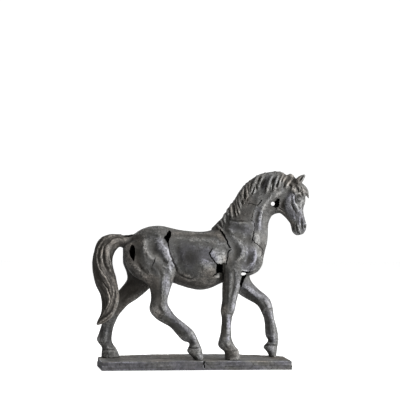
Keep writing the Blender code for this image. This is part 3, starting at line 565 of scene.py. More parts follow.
# Where the patina turns brown (below 0) or violet (above 0): points, radius, strength and side.
TINTS = [
    ([(-118, 250), (-150, 246), (-175, 226), (-172, 180), (-162, 140), (-172, 96)], 30, -1.0, Side.BOTH),
    ([(-122, 210), (-104, 186), (-80, 160)], 20, -0.7, Side.BOTH),
    ([(-74, 170), (-74, 130), (-66, 108)], 14, -0.6, Side.BOTH),
    ([(-62, 240), (-52, 214), (-44, 186)], 15, 0.6, Side.BOTH),
    ([(-52, 176), (-53, 130), (-46, 104), (-10, 72)], 9, 0.7, Side.BOTH),
    ([(-34, 176), (4, 160), (44, 166)], 18, -0.7, Side.BOTH),
    ([(-14, 222), (6, 208), (22, 214)], 26, 0.9, Side.BOTH),
    ([(14, 196), (34, 186)], 14, -0.7, Side.BOTH),
    ([(-44, 259), (40, 260)], 11, -0.6, Side.BOTH),
    ([(46, 216), (58, 210)], 12, 0.2, Side.BOTH),
    ([(48, 262), (56, 250)], 9, -0.9, Side.NEAR),
    ([(84, 300), (104, 296), (110, 318)], 20, -0.6, Side.BOTH),
    ([(80, 271), (104, 264)], 13, 0.7, Side.BOTH),
    ([(124, 306), (121, 270)], 8, 1.0, Side.BOTH),
    ([(133, 300), (130, 268)], 5, 0.5, Side.BOTH),
    ([(112, 222), (110, 206), (104, 194)], 14, 1.0, Side.BOTH),
    ([(66, 206), (68, 188)], 11, -0.5, Side.BOTH),
    ([(188, 330), (189, 304), (206, 288)], 13, 0.9, Side.BOTH),
    ([(212, 286), (214, 268)], 7, 0.6, Side.BOTH),
    ([(168, 306), (190, 276)], 8, -0.7, Side.BOTH),
    ([(190, 350), (208, 342)], 12, -0.5, Side.BOTH),
    ([(176, 366), (200, 362)], 13, -1.0, Side.BOTH),
    ([(60, 300), (100, 345), (130, 366)], 14, -0.5, Side.BOTH),
    ([(140, 366), (134, 350)], 7, 0.6, Side.BOTH),
    ([(86, 182), (80, 130), (76, 110)], 8, 0.5, Side.BOTH),
    ([(60, 180), (60, 120), (60, 60)], 9, -0.6, Side.BOTH),
    ([(69, 100), (68, 56)], 6, 0.9, Side.BOTH),
    ([(62, 34), (80, 24)], 16, -0.5, Side.BOTH),
    ([(-96, 166), (-122, 150), (-146, 124)], 26, -1.0, Side.INNER_FAR),
    ([(98, 164), (130, 138), (148, 116), (156, 60)], 14, 0.5, Side.INNER_FAR),
]


@dataclass(frozen=True)
class Break:
    """A break right through the near skin, as it shows on the sheet."""

    name: str
    outline: Path
    depth: float
    ragged: float = 0.9


@dataclass(frozen=True)
class Crack:
    """A crack along a path on the sheet: wide where it starts, closing to its end."""

    name: str
    points: Path
    width: float
    depth: float = 3.0
    closing: float = 0.7


BREAKS = [
    Break("hip", [(-47, 264.5), (-44, 262), (-43.3, 256), (-44, 251.5), (-46.5, 248), (-47.6, 243),
                  (-47.6, 238), (-46.6, 231), (-46, 224), (-47.6, 228), (-49.5, 235), (-51, 240),
                  (-54, 244.5), (-58, 249.3), (-56, 253), (-52.5, 256), (-50.5, 261)], 16, 0.7),
    Break("buttock", [(-119, 236.5), (-114.6, 235), (-112.6, 230), (-112, 222), (-112.4, 214), (-113.5, 207),
                      (-114.2, 201), (-115.5, 205), (-118, 209), (-121, 213.5), (-123, 218.5),
                      (-123.6, 223.5), (-122.4, 229), (-120.6, 234)], 16, 0.6),
    Break("ribs", [(44.5, 200.5), (50, 200.6), (56.4, 199.4), (57.4, 196), (56.4, 191), (57, 186), (55, 183),
                   (50, 183.4), (45, 180.6), (44.2, 186), (43.4, 190), (44.6, 195)], 16, 0.8),
    Break("brisket fall", [(94.6, 176.6), (97.4, 180.4), (103.2, 179.8), (102, 176.6), (98.8, 170),
                           (96.6, 164), (93.4, 155.4), (91.4, 155.6), (89.8, 160), (91, 167), (92.8, 172)],
          10, 0.5),
    Break("throat", [(156.5, 320.5), (160.5, 325), (163, 327), (166.6, 326.5), (166.3, 319), (166, 313.5),
                     (163, 309.5), (158, 308.8), (153.6, 311), (154, 317)], 16, 0.6),
    Break("dock", [(-147, 262), (-140, 256.4), (-133, 252.4), (-125, 250), (-118.6, 252.6), (-114.4, 257.4),
                   (-117, 264), (-146, 264)], 3, 0.3),
]
CRACKS = [
    Crack("shoulder", [(51.5, 268), (52, 265), (55, 261), (58, 257), (61, 252), (63, 248), (65, 243),
                       (66.5, 238), (69, 233.5), (73, 230)], 3.4, 5.0, 0.25),
    Crack("shoulder fall", [(73.5, 229), (69, 225.5), (67, 221), (66.6, 214), (65, 208), (64, 203),
                            (63.5, 199)], 2.8, 5.0, 0.35),
    Crack("hip seam", [(-46.5, 226), (-44.8, 219), (-42.6, 213)], 1.5, 3.0, 0.6),
    Crack("hip seam low", [(-42.6, 207.5), (-40.5, 203.5), (-38.4, 199)], 2.0, 3.5, 0.5),
    Crack("flank", [(-33.5, 190), (-31.5, 185)], 1.6, 3.0, 0.5),
    Crack("belly", [(-27, 180.5), (-20, 176), (-13, 172.4), (-8, 171.4)], 0.9, 3.0, 0.4),
    Crack("rib plate", [(36.5, 230), (33.5, 225), (31, 220), (33.5, 214.5), (38, 208), (42, 203.5),
                        (46, 200)], 2.1, 3.5, 0.0),
    Crack("rib wedge", [(45.5, 182.5), (42.5, 179.5), (38, 176)], 3.0, 4.0, 0.5),
    Crack("elbow", [(57, 185), (57.5, 176), (58, 166)], 2.2, 4.0, 0.5),
    Crack("chest", [(111, 286), (115.5, 281.5), (118.5, 276), (119, 270), (117.5, 263)], 1.1, 3.0, 0.0),
    Crack("chest low", [(117.6, 263.5), (116.4, 257), (115, 252), (114.6, 247.5), (112, 242)], 2.6, 3.5, 0.4),
    Crack("chest fork", [(115, 247), (118.5, 241.5), (124, 238), (129, 233.5), (133.4, 229.5), (135.5, 225)],
          1.5, 3.0, 0.2),
    Crack("chest edge", [(135, 225), (133, 219), (130, 213.5), (129.6, 210)], 1.2, 2.5, 0.5),
    Crack("upper neck", [(131.5, 325), (128.5, 317.6), (123, 312)], 2.8, 3.5, 0.5),
    Crack("upper neck fine", [(104, 316), (110, 318), (116, 315.6), (122, 313)], 1.5, 2.5, 0.2),
    Crack("neck fine", [(121, 311), (116.5, 305), (114, 297), (111.6, 288)], 1.0, 2.0, 0.0),
    Crack("jaw", [(160, 311), (160, 304), (158, 299)], 1.7),
    Crack("cheek", [(164, 311), (170, 305.5), (177, 301)], 1.6),
    Crack("thigh", [(-72.6, 211), (-75, 207), (-76.4, 202), (-79.5, 196.5)], 2.0, 3.0, 0.4),
    Crack("thigh pit", [(-98, 190.5), (-101, 189.5)], 1.6, 2.0, 0.3),
    Crack("brisket", [(93, 184.6), (98, 184.6), (104, 184), (111, 184.6)], 3.0, 5.0, 0.1),
]
THROAT_HOLE = (153.3, 316.6)
THROAT_HOLE_RADIUS = 3.7
THROAT_HOLE_POINTS = 24
BRISKET_GAP = [(92, 181), (95, 183.6), (100, 183.2), (102.6, 181.2), (100, 179), (96, 177.8), (93, 178.8)]

PLINTH_THICKNESS = 0.0170
# The plinth's split is (x, z) on its front face, and its crack (x, y) from its back edge, in metres.
PLINTH_SPLIT = [
    (0.0085, 0.0240), (0.0098, 0.0165), (0.0088, 0.0130), (0.0108, 0.0095), (0.0112, 0.0050),
    (0.0132, 0.0038), (0.0138, 0.0080), (0.0122, 0.0110), (0.0134, 0.0150), (0.0142, 0.0240),
]
PLINTH_CRACK = [
    (-0.0470, 0.005), (-0.0448, -0.006), (-0.0462, -0.014), (-0.0430, -0.024),
    (-0.0438, -0.013), (-0.0424, -0.005), (-0.0440, 0.005),
]


@dataclass(frozen=True)
class Sheet:
    """The drawing sheet and how it becomes the statue.

    The statue is drawn 378 high and 419 long, with the ground at 17. Marks on the skin are drawn as
    the eye point sees them, and carried along its lines of sight onto the form.
    """

    height: float = 378.0
    reach: float = 419.0
    ground: float = 17.0
    real_height: float = 0.376
    real_reach: float = 0.419
    plinth_thickness: float = PLINTH_THICKNESS
    offset: float = -0.0029
    far_leg_shift: float = 2.0
    eye: Row = (-487.0, -3262.0, 317.0)

    def real(self, points: np.ndarray) -> np.ndarray:
        """Drawn places as real ones, in metres."""
        along = self.real_reach / self.reach
        rise = (self.real_height - self.plinth_thickness) / (self.height - self.ground)
        shift = (self.offset, 0.0, self.plinth_thickness - rise * self.ground)
        return np.asarray(points, float) * (along, along, rise) + shift

    def sight(self, x: float, z: float) -> tuple[np.ndarray, np.ndarray]:
        """The line from the eye through a point of the sheet.

        Args:
            x: How far right the point is on the sheet.
            z: How high it is.

        Returns:
            The line's start and its direction.
        """
        eye = np.array(self.eye)
        ahead = np.array((x, 0.0, z)) - eye
        return eye, ahead / np.linalg.norm(ahead)

    def seen(self, points: np.ndarray, mirrored: bool = True) -> np.ndarray:
        """Where places on the form show on the sheet.

        Args:
            points: Places in drawn units.
            mirrored: Whether the far side shows as the near side's mirror image.

        Returns:
            One (x, z) for each place.
        """
        eye = np.array(self.eye)
        places = np.array(points, float)
        if mirrored:
            places[:, 1] = -np.abs(places[:, 1])
        along = places - eye
        return (eye + along * (-eye[1] / along[:, 1:2]))[:, (0, 2)]


SHEET = Sheet()


def through(rows: Iterable[Row], steps: int) -> np.ndarray:
    """Rows of values with more between them, on Catmull-Rom curves.

    Args:
        rows: The values to pass through.
        steps: How many rows to make for each one given.

    Returns:
        The rows as an array.
    """
    given = np.array(list(rows), float)
    given = np.vstack([2 * given[0] - given[1], given, 2 * given[-1] - given[-2]])
    made = []
    for i in range(1, len(given) - 2):
        a, b, c, d = given[i - 1:i + 3]
        for t in np.arange(steps) / steps:
            made.append(0.5 * (2 * b + (c - a) * t + (2 * a - 5 * b + 4 * c - d) * t ** 2
                               + (3 * b - a - 3 * c + d) * t ** 3))
    made.append(given[-2])
    return np.array(made)


def noise_at(places: Iterable[Sequence[float]]) -> np.ndarray:
    """Smooth noise at each place, from -1 to 1."""
    return np.array([noise.noise(place) for place in places])


def put(name: str, mesh: bpy.types.Mesh) -> bpy.types.Object:
    """A new object of a mesh, in the scene."""
    obj = bpy.data.objects.new(name, mesh)
    bpy.context.scene.collection.objects.link(obj)
    return obj


def discard(obj: bpy.types.Object) -> None:
    """Removes a helper object and its mesh."""
    mesh = obj.data
    bpy.data.objects.remove(obj)
    bpy.data.meshes.remove(mesh)


def take_shape(obj: bpy.types.Object) -> None:
    """Makes what an object's modifiers give its own mesh."""
    bpy.context.view_layer.update()
    graph = bpy.context.evaluated_depsgraph_get()
    mesh = bpy.data.meshes.new_from_object(obj.evaluated_get(graph))
    old = obj.data
    obj.modifiers.clear()
    obj.data = mesh
    bpy.data.meshes.remove(old)


def closed_mesh(bm: bmesh.types.BMesh, name: str) -> bpy.types.Mesh:
    """Turns a bmesh's faces outward and gives it as a mesh."""
    bmesh.ops.recalc_face_normals(bm, faces=bm.faces)
    mesh = bpy.data.meshes.new(name)
    bm.to_mesh(mesh)
    bm.free()
    return mesh


def add_rings(bm: bmesh.types.BMesh, rings: Sequence[Sequence[Row]]) -> None:
    """Skins a row of equal rings of points and closes both ends."""
    made = [[bm.verts.new(point) for point in ring] for ring in rings]
    count = len(made[0])
    for lower, upper in zip(made, made[1:]):
        for k in range(count):
            n = (k + 1) % count
            bm.faces.new((lower[k], lower[n], upper[n], upper[k]))
    bm.faces.new(list(reversed(made[0])))
    bm.faces.new(made[-1])


def reskin(obj: bpy.types.Object, voxel: float, rounds: int) -> None:
    """Joins an object's overlapping forms under one even skin and softens it.

    Args:
        obj: The object, whose mesh is replaced.
        voxel: The grain of the new skin.
        rounds: How many rounds of smoothing follow.
    """
    remesh = obj.modifiers.new("skin", "REMESH")
    remesh.mode = "VOXEL"
    remesh.voxel_size = voxel
    if rounds:
        soften = obj.modifiers.new("soften", "SMOOTH")
        soften.factor = 0.5
        soften.iterations = rounds
    take_shape(obj)


def cut_away(obj: bpy.types.Object, cutter: bpy.types.Object) -> None:
    """Takes a cutter's shape out of an object and discards the cutter."""
    boolean = obj.modifiers.new("cut", "BOOLEAN")
    boolean.operation = "DIFFERENCE"
    boolean.solver = "MANIFOLD"
    boolean.object = cutter
    take_shape(obj)
    discard(cutter)


class Clay:
    """A mesh's vertices held as arrays, so that they can be sculpted and then put back."""

    OWN_SHARE = 0.35
    NEIGHBOURS_SHARE = 0.65
    FEW = 93

    def __init__(self, mesh: bpy.types.Mesh) -> None:
        """Reads the mesh's places, outward directions and edges."""
        self.mesh = mesh
        self.places = self.read("co")
        self.normals = self.read("normal")
        edges = np.empty(len(mesh.edges) * 2, np.int32)
        mesh.edges.foreach_get("vertices", edges)
        self.edges = edges.reshape(-1, 2)
        self.degree = np.maximum(np.bincount(edges, minlength=len(self.places)), 1)

    def read(self, name: str) -> np.ndarray:
        """One vector for each vertex."""
        values = np.empty(len(self.mesh.vertices) * 3)
        self.mesh.vertices.foreach_get(name, values)
        return values.reshape(-1, 3)

    def spread(self, values: np.ndarray, rounds: int) -> np.ndarray:
        """Averages values over their neighbours.

        Args:
            values: One value or vector for each vertex.
            rounds: How many times to average.

        Returns:
            The evened values.
        """
        out = values.reshape(len(values), -1).astype(float)
        a, b = self.edges.T
        count = len(out)
        for _ in range(rounds):
            total = np.empty_like(out)
            for k in range(out.shape[1]):
                total[:, k] = np.bincount(a, out[b, k], count) + np.bincount(b, out[a, k], count)
            out = self.OWN_SHARE * out + self.NEIGHBOURS_SHARE * total / self.degree[:, None]
        return out.reshape(values.shape)

    def standing(self, rounds: int) -> np.ndarray:
        """How far each vertex stands out of the skin around it, 1 where only a few stand out further."""
        out = np.einsum("ij,ij->i", self.places - self.spread(self.places, rounds), self.normals)
        out = self.spread(out, 1)
        return out / np.percentile(np.abs(out), self.FEW)

    def put_back(self) -> None:
        """Writes the places to the mesh."""
        self.mesh.vertices.foreach_set("co", self.places.ravel())
        self.mesh.update()
        self.normals = self.read("normal")

    def kept(self, name: str) -> np.ndarray:
        """The value for each vertex that is kept under a name."""
        values = np.empty(len(self.mesh.vertices), np.float32)
        self.mesh.attributes[name].data.foreach_get("value", values)
        return values.astype(float)

    def mark(self, name: str, values: np.ndarray) -> None:
        """Keeps a value for each vertex under a name that the finishes read."""
        kept = self.mesh.attributes.get(name) or self.mesh.attributes.new(name, "FLOAT", "POINT")
        kept.data.foreach_set("value", np.clip(values, 0.0, 1.0).astype(np.float32))


# How soon a slanting face counts as squarely turned, and where on the sheet's depth the sides begin.
FACING_GAIN = 1.6
MIDDLE_BAND = 2.0
FAR_LEGS_FROM = 8.0
# How finely a stroke's path is curved from point to point, and how far in from its ends the fading starts.
CURVE_STEPS = 5
END_FADE = 0.1


def beside(points: np.ndarray, path: np.ndarray, reach: float) -> tuple[np.ndarray, np.ndarray, np.ndarray]:
    """Finds the places near a path on the sheet.

    Args:
        points: Where each place shows on the sheet.
        path: The path's points.
        reach: How far from the path to look.

    Returns:
        The indices of the near places, their distance to the path and how far along it they are, 0 to 1.
    """
    low = path.min(axis=0) - reach
    high = path.max(axis=0) + reach
    close = np.nonzero(((points > low) & (points < high)).all(axis=1))[0]
    here = points[close]
    runs = np.diff(path, axis=0)
    lengths = np.linalg.norm(runs, axis=1)
    starts = np.concatenate([[0.0], np.cumsum(lengths)])
    best = np.full(len(close), np.inf)
    share = np.zeros(len(close))
    for i, (a, run) in enumerate(zip(path, runs)):
        t = np.clip((here - a) @ run / (run @ run), 0.0, 1.0)
        apart = np.linalg.norm(here - a - t[:, None] * run, axis=1)
        closer = apart < best
        best[closer] = apart[closer]
        share[closer] = ((starts[i] + t * lengths[i]) / starts[-1])[closer]
    within = best < reach
    return close[within], best[within], share[within]


def facing(clay: Clay, side: Side) -> np.ndarray:
    """How squarely each vertex faces the side that a mark is cut in, 0 to 1."""
    y = clay.places[:, 1]
    out = FACING_GAIN * clay.normals[:, 1]
    forward = np.clip(-out, 0.0, 1.0)
    on_near = forward * (y < MIDDLE_BAND)
    if side is Side.NEAR:
        return on_near
    if side is Side.BOTH:
        return on_near + np.clip(out, 0.0, 1.0) * (y > -MIDDLE_BAND)
    return forward * (y > FAR_LEGS_FROM)


def stroke_weights(seen: dict[bool, np.ndarray], masks: dict[Side, np.ndarray],
                   stroke: Stroke) -> tuple[np.ndarray, np.ndarray]:
    """How strongly one stroke works on the vertices near it.

    Args:
        seen: Where the vertices show on the sheet, mirrored and as they are.
        masks: How squarely the vertices face each side.
        stroke: The stroke.

    Returns:
        The vertices' indices and the stroke's strength on each.
    """
    path = np.array(stroke.points, float)
    if len(path) > 2:
        path = through(path, CURVE_STEPS)
    index, apart, share = beside(seen[stroke.side is not Side.INNER_FAR], path, stroke.radius)
    strength = np.clip(1.0 - (apart / stroke.radius) ** 2, 0.0, None) ** stroke.fall
    if stroke.fading:
        strength *= np.sin(math.pi * (END_FADE + (1.0 - 2.0 * END_FADE) * share))
    return index, strength * masks[stroke.side][index]


@dataclass(frozen=True)
class LockShape:
    """How a lock of hair swells, tapers to its tip and sinks in at its root, in shares of its half width."""

    points_round: int = 12
    height: float = 1.15
    ends: float = 0.7
    swell: float = 0.3
    taper: float = 2.6
    tip: float = 0.22
    root_closing: float = 6.0
    root_thinning: float = 0.18
    root_sinking: float = 0.2

    def root(self, t: float) -> float:
        """How near the root a share of the length is: 1 at the root, 0 past it."""
        return max(0.0, 1.0 - self.root_closing * t)

    def thickness(self, half_width: float, t: float) -> float:
        """Half the lock's thickness at a share of its length."""
        body = self.ends + self.swell * math.sin(math.pi * t)
        end = min(1.0, self.taper * (1.0 - t) + self.tip)
        return half_width * body * end * (1.0 - self.root_thinning * self.root(t))


@dataclass(frozen=True)
class Wear:
    """How a hand-made, worn casting strays from the drawn strokes, in drawn units.

    Low on the legs both the straying and the wear are calmer.
    """

    stray: float = 1.5
    stray_length: float = 7.5
    stray_seed: int = 11
    calm_below: float = 90.0
    calm_over: float = 80.0
    calmest: float = 0.4
    waves: float = 0.34
    wave_length: float = 9.0
    dents: float = 0.15
    dent_length: float = 3.2
    pits: float = 1.0
    pit_length: float = 2.4
    pit_from: float = 0.38
    pit_shift: float = 40.0

    def calm(self, heights: np.ndarray) -> np.ndarray:
        """How much of the wear is left at each height."""
        return np.clip((heights - self.calm_below) / self.calm_over, self.calmest, 1.0)[:, None]

    def straying(self, places: np.ndarray) -> np.ndarray:
        """How far the strokes stray at each place, along and up on the sheet.

        The vector noise takes its offsets from the clock unless it is given a seed.
        """
        noise.seed_set(self.stray_seed)
        stray = np.array([noise.noise_vector(Vector(place) / self.stray_length) for place in places])
        return self.stray * self.calm(places[:, 2]) * stray[:, (0, 2)]

    def relief(self, places: np.ndarray) -> np.ndarray:
        """How far the skin is worn out or in at each place."""
        waves = noise_at(Vector(place) / self.wave_length for place in places)
        dents = noise_at(Vector(place) / self.dent_length for place in places)
        shift = Vector((self.pit_shift, 0, 0))
        pits = noise_at(Vector(place) / self.pit_length + shift for place in places)
        return self.waves * waves + self.dents * dents - self.pits * np.maximum(0.0, pits - self.pit_from)


@dataclass(frozen=True)
class Tearing:
    """How ragged the edges of the breaks and the cracks are, in drawn units."""

    step: float = 1.8
    jag_share: float = 0.4
    crack_step: float = 2.2
    crack_stray: float = 0.45
    crack_start: float = 0.25
    crack_uneven: tuple[float, float] = (0.7, 1.35)
    seed: int = 11


@dataclass
class Horse:
    """The walking horse: one hollow casting, with its hair, breaks and cracks."""

    skin_grain: float = 1.05
    first_grain: float = 1.2
    form_rounds: int = 16
    hair_rounds: int = 4
    triangles: int = 158000
    wall: float = 4.5
    thinnest: float = 0.05
    lining_grain: float = 3.6
    lining_rounds: int = 3
    ring_points: int = 40
    steps: int = 7
    ear_shifts: tuple[float, float] = (-2.3, 1.6)
    least_outward: float = 0.15
    low_mane: float = 345.0
    comb_width: float = 1.15
    comb_rise: float = 0.3
    comb_tone_low: float = 0.28
    comb_tone_high: float = 0.1
    outside: float = 90.0
    seat_gap: float = 0.0003
    seat_size: float = 0.04
    standing_scales: tuple[tuple[int, float], ...] = ((4, 0.6), (24, 0.5))
    skin_depth: float = 0.25
    dark_depth: float = 0.9
    dark_rim: float = 1.6
    sharp_angle: float = 62.0
    lock_shape: LockShape = LockShape()
    wear: Wear = Wear()
    tearing: Tearing = Tearing()
    skin: BVHTree | None = field(default=None, repr=False)

    def loft(self, bm: bmesh.types.BMesh, ribs: Iterable[Row], side: int = 1, shift: float = 0.0,
             thinner: float = 0.0) -> None:
        """Adds one closed form whose cross-sections are ellipses on the ribs.

        Args:
            bm: The mesh to add to.
            ribs: The cross-sections.
            side: -1 puts the form on the other side of the middle plane.
            shift: How far to move it along.
            thinner: How much to take off it all round.
        """
        rings = []
        for back_x, back_z, front_x, front_z, centre_y, half_width in through(ribs, self.steps):
            back = np.array((back_x, back_z))
            front = np.array((front_x, front_z))
            half = (front - back) / 2
            middle = (front + back) / 2
            half *= max(self.thinnest, 1.0 - thinner / np.linalg.norm(half))
            wide = max(self.thinnest * half_width, half_width - thinner)
            ring = []
            for turn in 2 * math.pi * np.arange(self.ring_points) / self.ring_points:
                x, z = middle + half * math.cos(turn)
                ring.append((x + shift, side * centre_y + wide * math.sin(turn), z))
            rings.append(ring)
        add_rings(bm, rings)

    def body(self) -> bpy.types.Object:
        """The bare form under its first skin."""
        bm = bmesh.new()
        for ribs in (TORSO, NECK, THROAT, HEAD, MANE, TAIL, NEAR_HIND, NEAR_FORE):
            self.loft(bm, ribs)
        for ribs in (FAR_HIND, FAR_FORE):
            self.loft(bm, ribs, shift=SHEET.far_leg_shift)
        horse = put("horse_casting", closed_mesh(bm, "horse_casting"))
        reskin(horse, self.skin_grain * self.first_grain, self.form_rounds)
        return horse

    def on_skin(self, points: Path, side: int) -> list[tuple[np.ndarray, np.ndarray]]:
        """Carries drawn points onto the form.

        Args:
            points: The points on the sheet.
            side: -1 for the near side, 1 for its mirror image.

        Returns:
            The place and the outward direction of each.
        """
        path = []
        for x, z in points:
            start, along = SHEET.sight(x, z)
            spot, out, _, _ = self.skin.ray_cast(Vector(start), Vector(along))
            if spot is None:
                spot, out, _, _ = self.skin.find_nearest(Vector((x, 0.0, z)))
            outward = np.array(out)
            outward[1] = min(outward[1], -self.least_outward)
            flip = (1, -side, 1)
            path.append((np.array(spot) * flip, outward * flip))
        return path

    def lock(self, bm: bmesh.types.BMesh, path: Sequence[tuple[np.ndarray, np.ndarray]],
             half_width: float, lift: float = -0.1) -> None:
        """Adds a tapering lock of hair.

        Args:
            bm: The mesh to add to.
            path: The place and outward direction of each of its points.
            half_width: Half its width where it is widest.
            lift: How far it stands off its path, as a share of its half width.
        """
        shape = self.lock_shape
        rows = through([np.concatenate([place, out]) for place, out in path], self.steps)
        rings = []
        for i, row in enumerate(rows):
            t = i / (len(rows) - 1)
            fat = shape.thickness(half_width, t)
            ahead = rows[min(i + 1, len(rows) - 1)][:3] - rows[max(i - 1, 0)][:3]
            out = row[3:] / np.linalg.norm(row[3:])
            across = np.cross(ahead, out)
            across /= np.linalg.norm(across)
            middle = row[:3] + (lift - shape.root_sinking * shape.root(t)) * fat * out
            rings.append([
                middle + fat * (math.cos(a) * across + shape.height * math.sin(a) * out)
                for a in 2 * math.pi * np.arange(shape.points_round) / shape.points_round
            ])
        add_rings(bm, rings)

    def hair(self, horse: bpy.types.Object) -> None:
        """Lays the locks of the mane, the tail and the brow on the form and skins it again."""
        bm = bmesh.new()
        bm.from_mesh(horse.data)
        self.skin = BVHTree.FromBMesh(bm)
        for side, ear_shift in zip((-1, 1), self.ear_shifts):
            self.loft(bm, EAR, side, ear_shift)
            for half_width, points in MANE_LOCKS:
                self.lock(bm, self.on_skin(points, side), half_width)
        for half_width, points in BROW_LOCKS:
            for side in (-1, 1):
                path = [
                    (np.array((x, -side * y, z)), np.array((0.6, -0.1 * side * y, 0.4)))
                    for x, y, z in points
                ]
                self.lock(bm, path, half_width, 0.0)
        old = horse.data
        horse.data = closed_mesh(bm, "horse_casting")
        bpy.data.meshes.remove(old)
        reskin(horse, self.skin_grain, self.hair_rounds)

    def combing(self) -> list[Stroke]:
        """Strokes that raise every lock of the mane and paint it paler, partly as polish and partly as painted
        highlight, most of all the low ones.
        """
        strokes = []
        for half_width, points in MANE_LOCKS:
            tone = self.comb_tone_low if points[0][1] < self.low_mane else self.comb_tone_high
            strokes.append(Stroke(points, self.comb_width * half_width, self.comb_rise, tone))
        return strokes

    def carve(self, horse: bpy.types.Object) -> None:
        """Works every stroke into the skin, then roughens it as a worn casting."""
        clay = Clay(horse.data)
        wear = self.wear
        calm = wear.calm(clay.places[:, 2])
        stray = wear.straying(clay.places)
        seen = {mirrored: SHEET.seen(clay.places, mirrored) + stray for mirrored in (True, False)}
        masks = {side: facing(clay, side) for side in Side}
        rise, tone, tint = np.zeros((3, len(clay.places)))
        for stroke in STROKES + self.combing():
            index, strength = stroke_weights(seen, masks, stroke)
            rise[index] += stroke.rise * strength
            tone[index] += stroke.tone * strength
        for points, radius, strongest, side in TINTS:
            wash = Stroke(points, radius, rise=0.0, tone=0.0, fall=1.0, fading=False, side=side)
            index, strength = stroke_weights(seen, masks, wash)
            tint[index] += strongest * strength
        clay.places += clay.normals * rise[:, None]
        clay.put_back()
        # The tone carries the strokes' wear and grime and also their painted highlights and painted shade.
        clay.mark("tone", 0.5 + 0.5 * tone)
        clay.mark("tint", 0.5 + 0.5 * tint)
        clay.places += clay.normals * calm * wear.relief(clay.places)[:, None]
        clay.put_back()

    def jag(self, outline: Path, ragged: float, rng: np.random.Generator) -> list[Row]:
        """Breaks a closed outline's edges into short uneven steps."""
        made = []
        for (ax, az), (bx, bz) in zip(outline, list(outline[1:]) + [outline[0]]):
            length = math.hypot(bx - ax, bz - az)
            count = max(1, round(length / self.tearing.step))
            for i in range(count):
                t = i / count
                off = rng.normal(0.0, ragged * self.tearing.jag_share) if i else 0.0
                side = ((az - bz) / length * off, (bx - ax) / length * off)
                made.append((ax + (bx - ax) * t + side[0], az + (bz - az) * t + side[1]))
        return made

    def crack_band(self, crack: Crack, rng: np.random.Generator) -> list[Row]:
        """A crack's two edges, one after the other, as a closed outline."""
        tearing = self.tearing
        path = []
        for (ax, az), (bx, bz) in zip(crack.points, crack.points[1:]):
            count = max(1, round(math.hypot(bx - ax, bz - az) / tearing.crack_step))
            path += [(ax + (bx - ax) * i / count, az + (bz - az) * i / count) for i in range(count)]
        path.append(crack.points[-1])
        left = []
        right = []
        for i, (x, z) in enumerate(path):
            t = i / (len(path) - 1)
            x += rng.normal(0.0, tearing.crack_stray)
            z += rng.normal(0.0, tearing.crack_stray)
            before = path[max(i - 1, 0)]
            after = path[min(i + 1, len(path) - 1)]
            run = Vector((after[0] - before[0], after[1] - before[1])).normalized()
            wide = crack.width / 2 * (1.0 - crack.closing * t) * (tearing.crack_start if i == 0 else 1.0)
            a = wide * rng.uniform(*tearing.crack_uneven)
            b = wide * rng.uniform(*tearing.crack_uneven)
            left.append((x - run.y * a, z + run.x * a))
            right.append((x + run.y * b, z - run.x * b))
        return left + right[::-1]

    def prism(self, outline: Path, near_y: float, far_y: float) -> bpy.types.Object:
        """A cutter through a drawn outline, along the lines of sight, between two distances off the middle."""
        eye = np.array(SHEET.eye)
        rings = []
        for y in (near_y, far_y):
            ring = []
            for x, z in outline:
                start, along = SHEET.sight(x, z)
                ring.append(start + along * (y - eye[1]) / along[1])
            rings.append(ring)
        bm = bmesh.new()
        add_rings(bm, rings)
        bmesh.ops.triangulate(bm, faces=bm.faces)
        return put("cutter", closed_mesh(bm, "cutter"))

    def depth_at(self, points: Path) -> float:
        """How far from the middle plane the near skin is, at its deepest under some drawn points."""
        return max(place[1] for place, _ in self.on_skin(points, -1))

    def hollow(self, horse: bpy.types.Object) -> None:
        """Empties the barrel, neck and head, as the casting is, leaving its wall."""
        bm = bmesh.new()
        for ribs in (TORSO, NECK, HEAD[1:-3]):
            self.loft(bm, ribs, thinner=self.wall)
        inside = put("inside", closed_mesh(bm, "inside"))
        reskin(inside, self.lining_grain, self.lining_rounds)
        cut_away(horse, inside)

    def break_open(self, horse: bpy.types.Object) -> None:
        """Cuts the breaks, the cracks and the two ways right through."""
        rng = np.random.default_rng(self.tearing.seed)
        for broken in BREAKS:
            deep = self.depth_at(broken.outline) + broken.depth
            cut_away(horse, self.prism(self.jag(broken.outline, broken.ragged, rng), -self.outside, deep))
        for crack in CRACKS:
            deep = self.depth_at(crack.points) + crack.depth
            cut_away(horse, self.prism(self.crack_band(crack, rng), -self.outside, deep))
        x, z = THROAT_HOLE
        disc = [
            (x + THROAT_HOLE_RADIUS * math.cos(a), z + THROAT_HOLE_RADIUS * math.sin(a))
            for a in 2 * math.pi * np.arange(THROAT_HOLE_POINTS) / THROAT_HOLE_POINTS
        ]
        for outline in (disc, BRISKET_GAP):
            cut_away(horse, self.prism(outline, -self.outside, self.outside))

    def seat(self, horse: bpy.types.Object, slab: "Plinth") -> None:
        """Cuts the hooves off level with the plinth's top, a hair above it."""
        cut_away(horse, put("seat", slab.block("seat", self.seat_gap, self.seat_size, self.seat_size)))

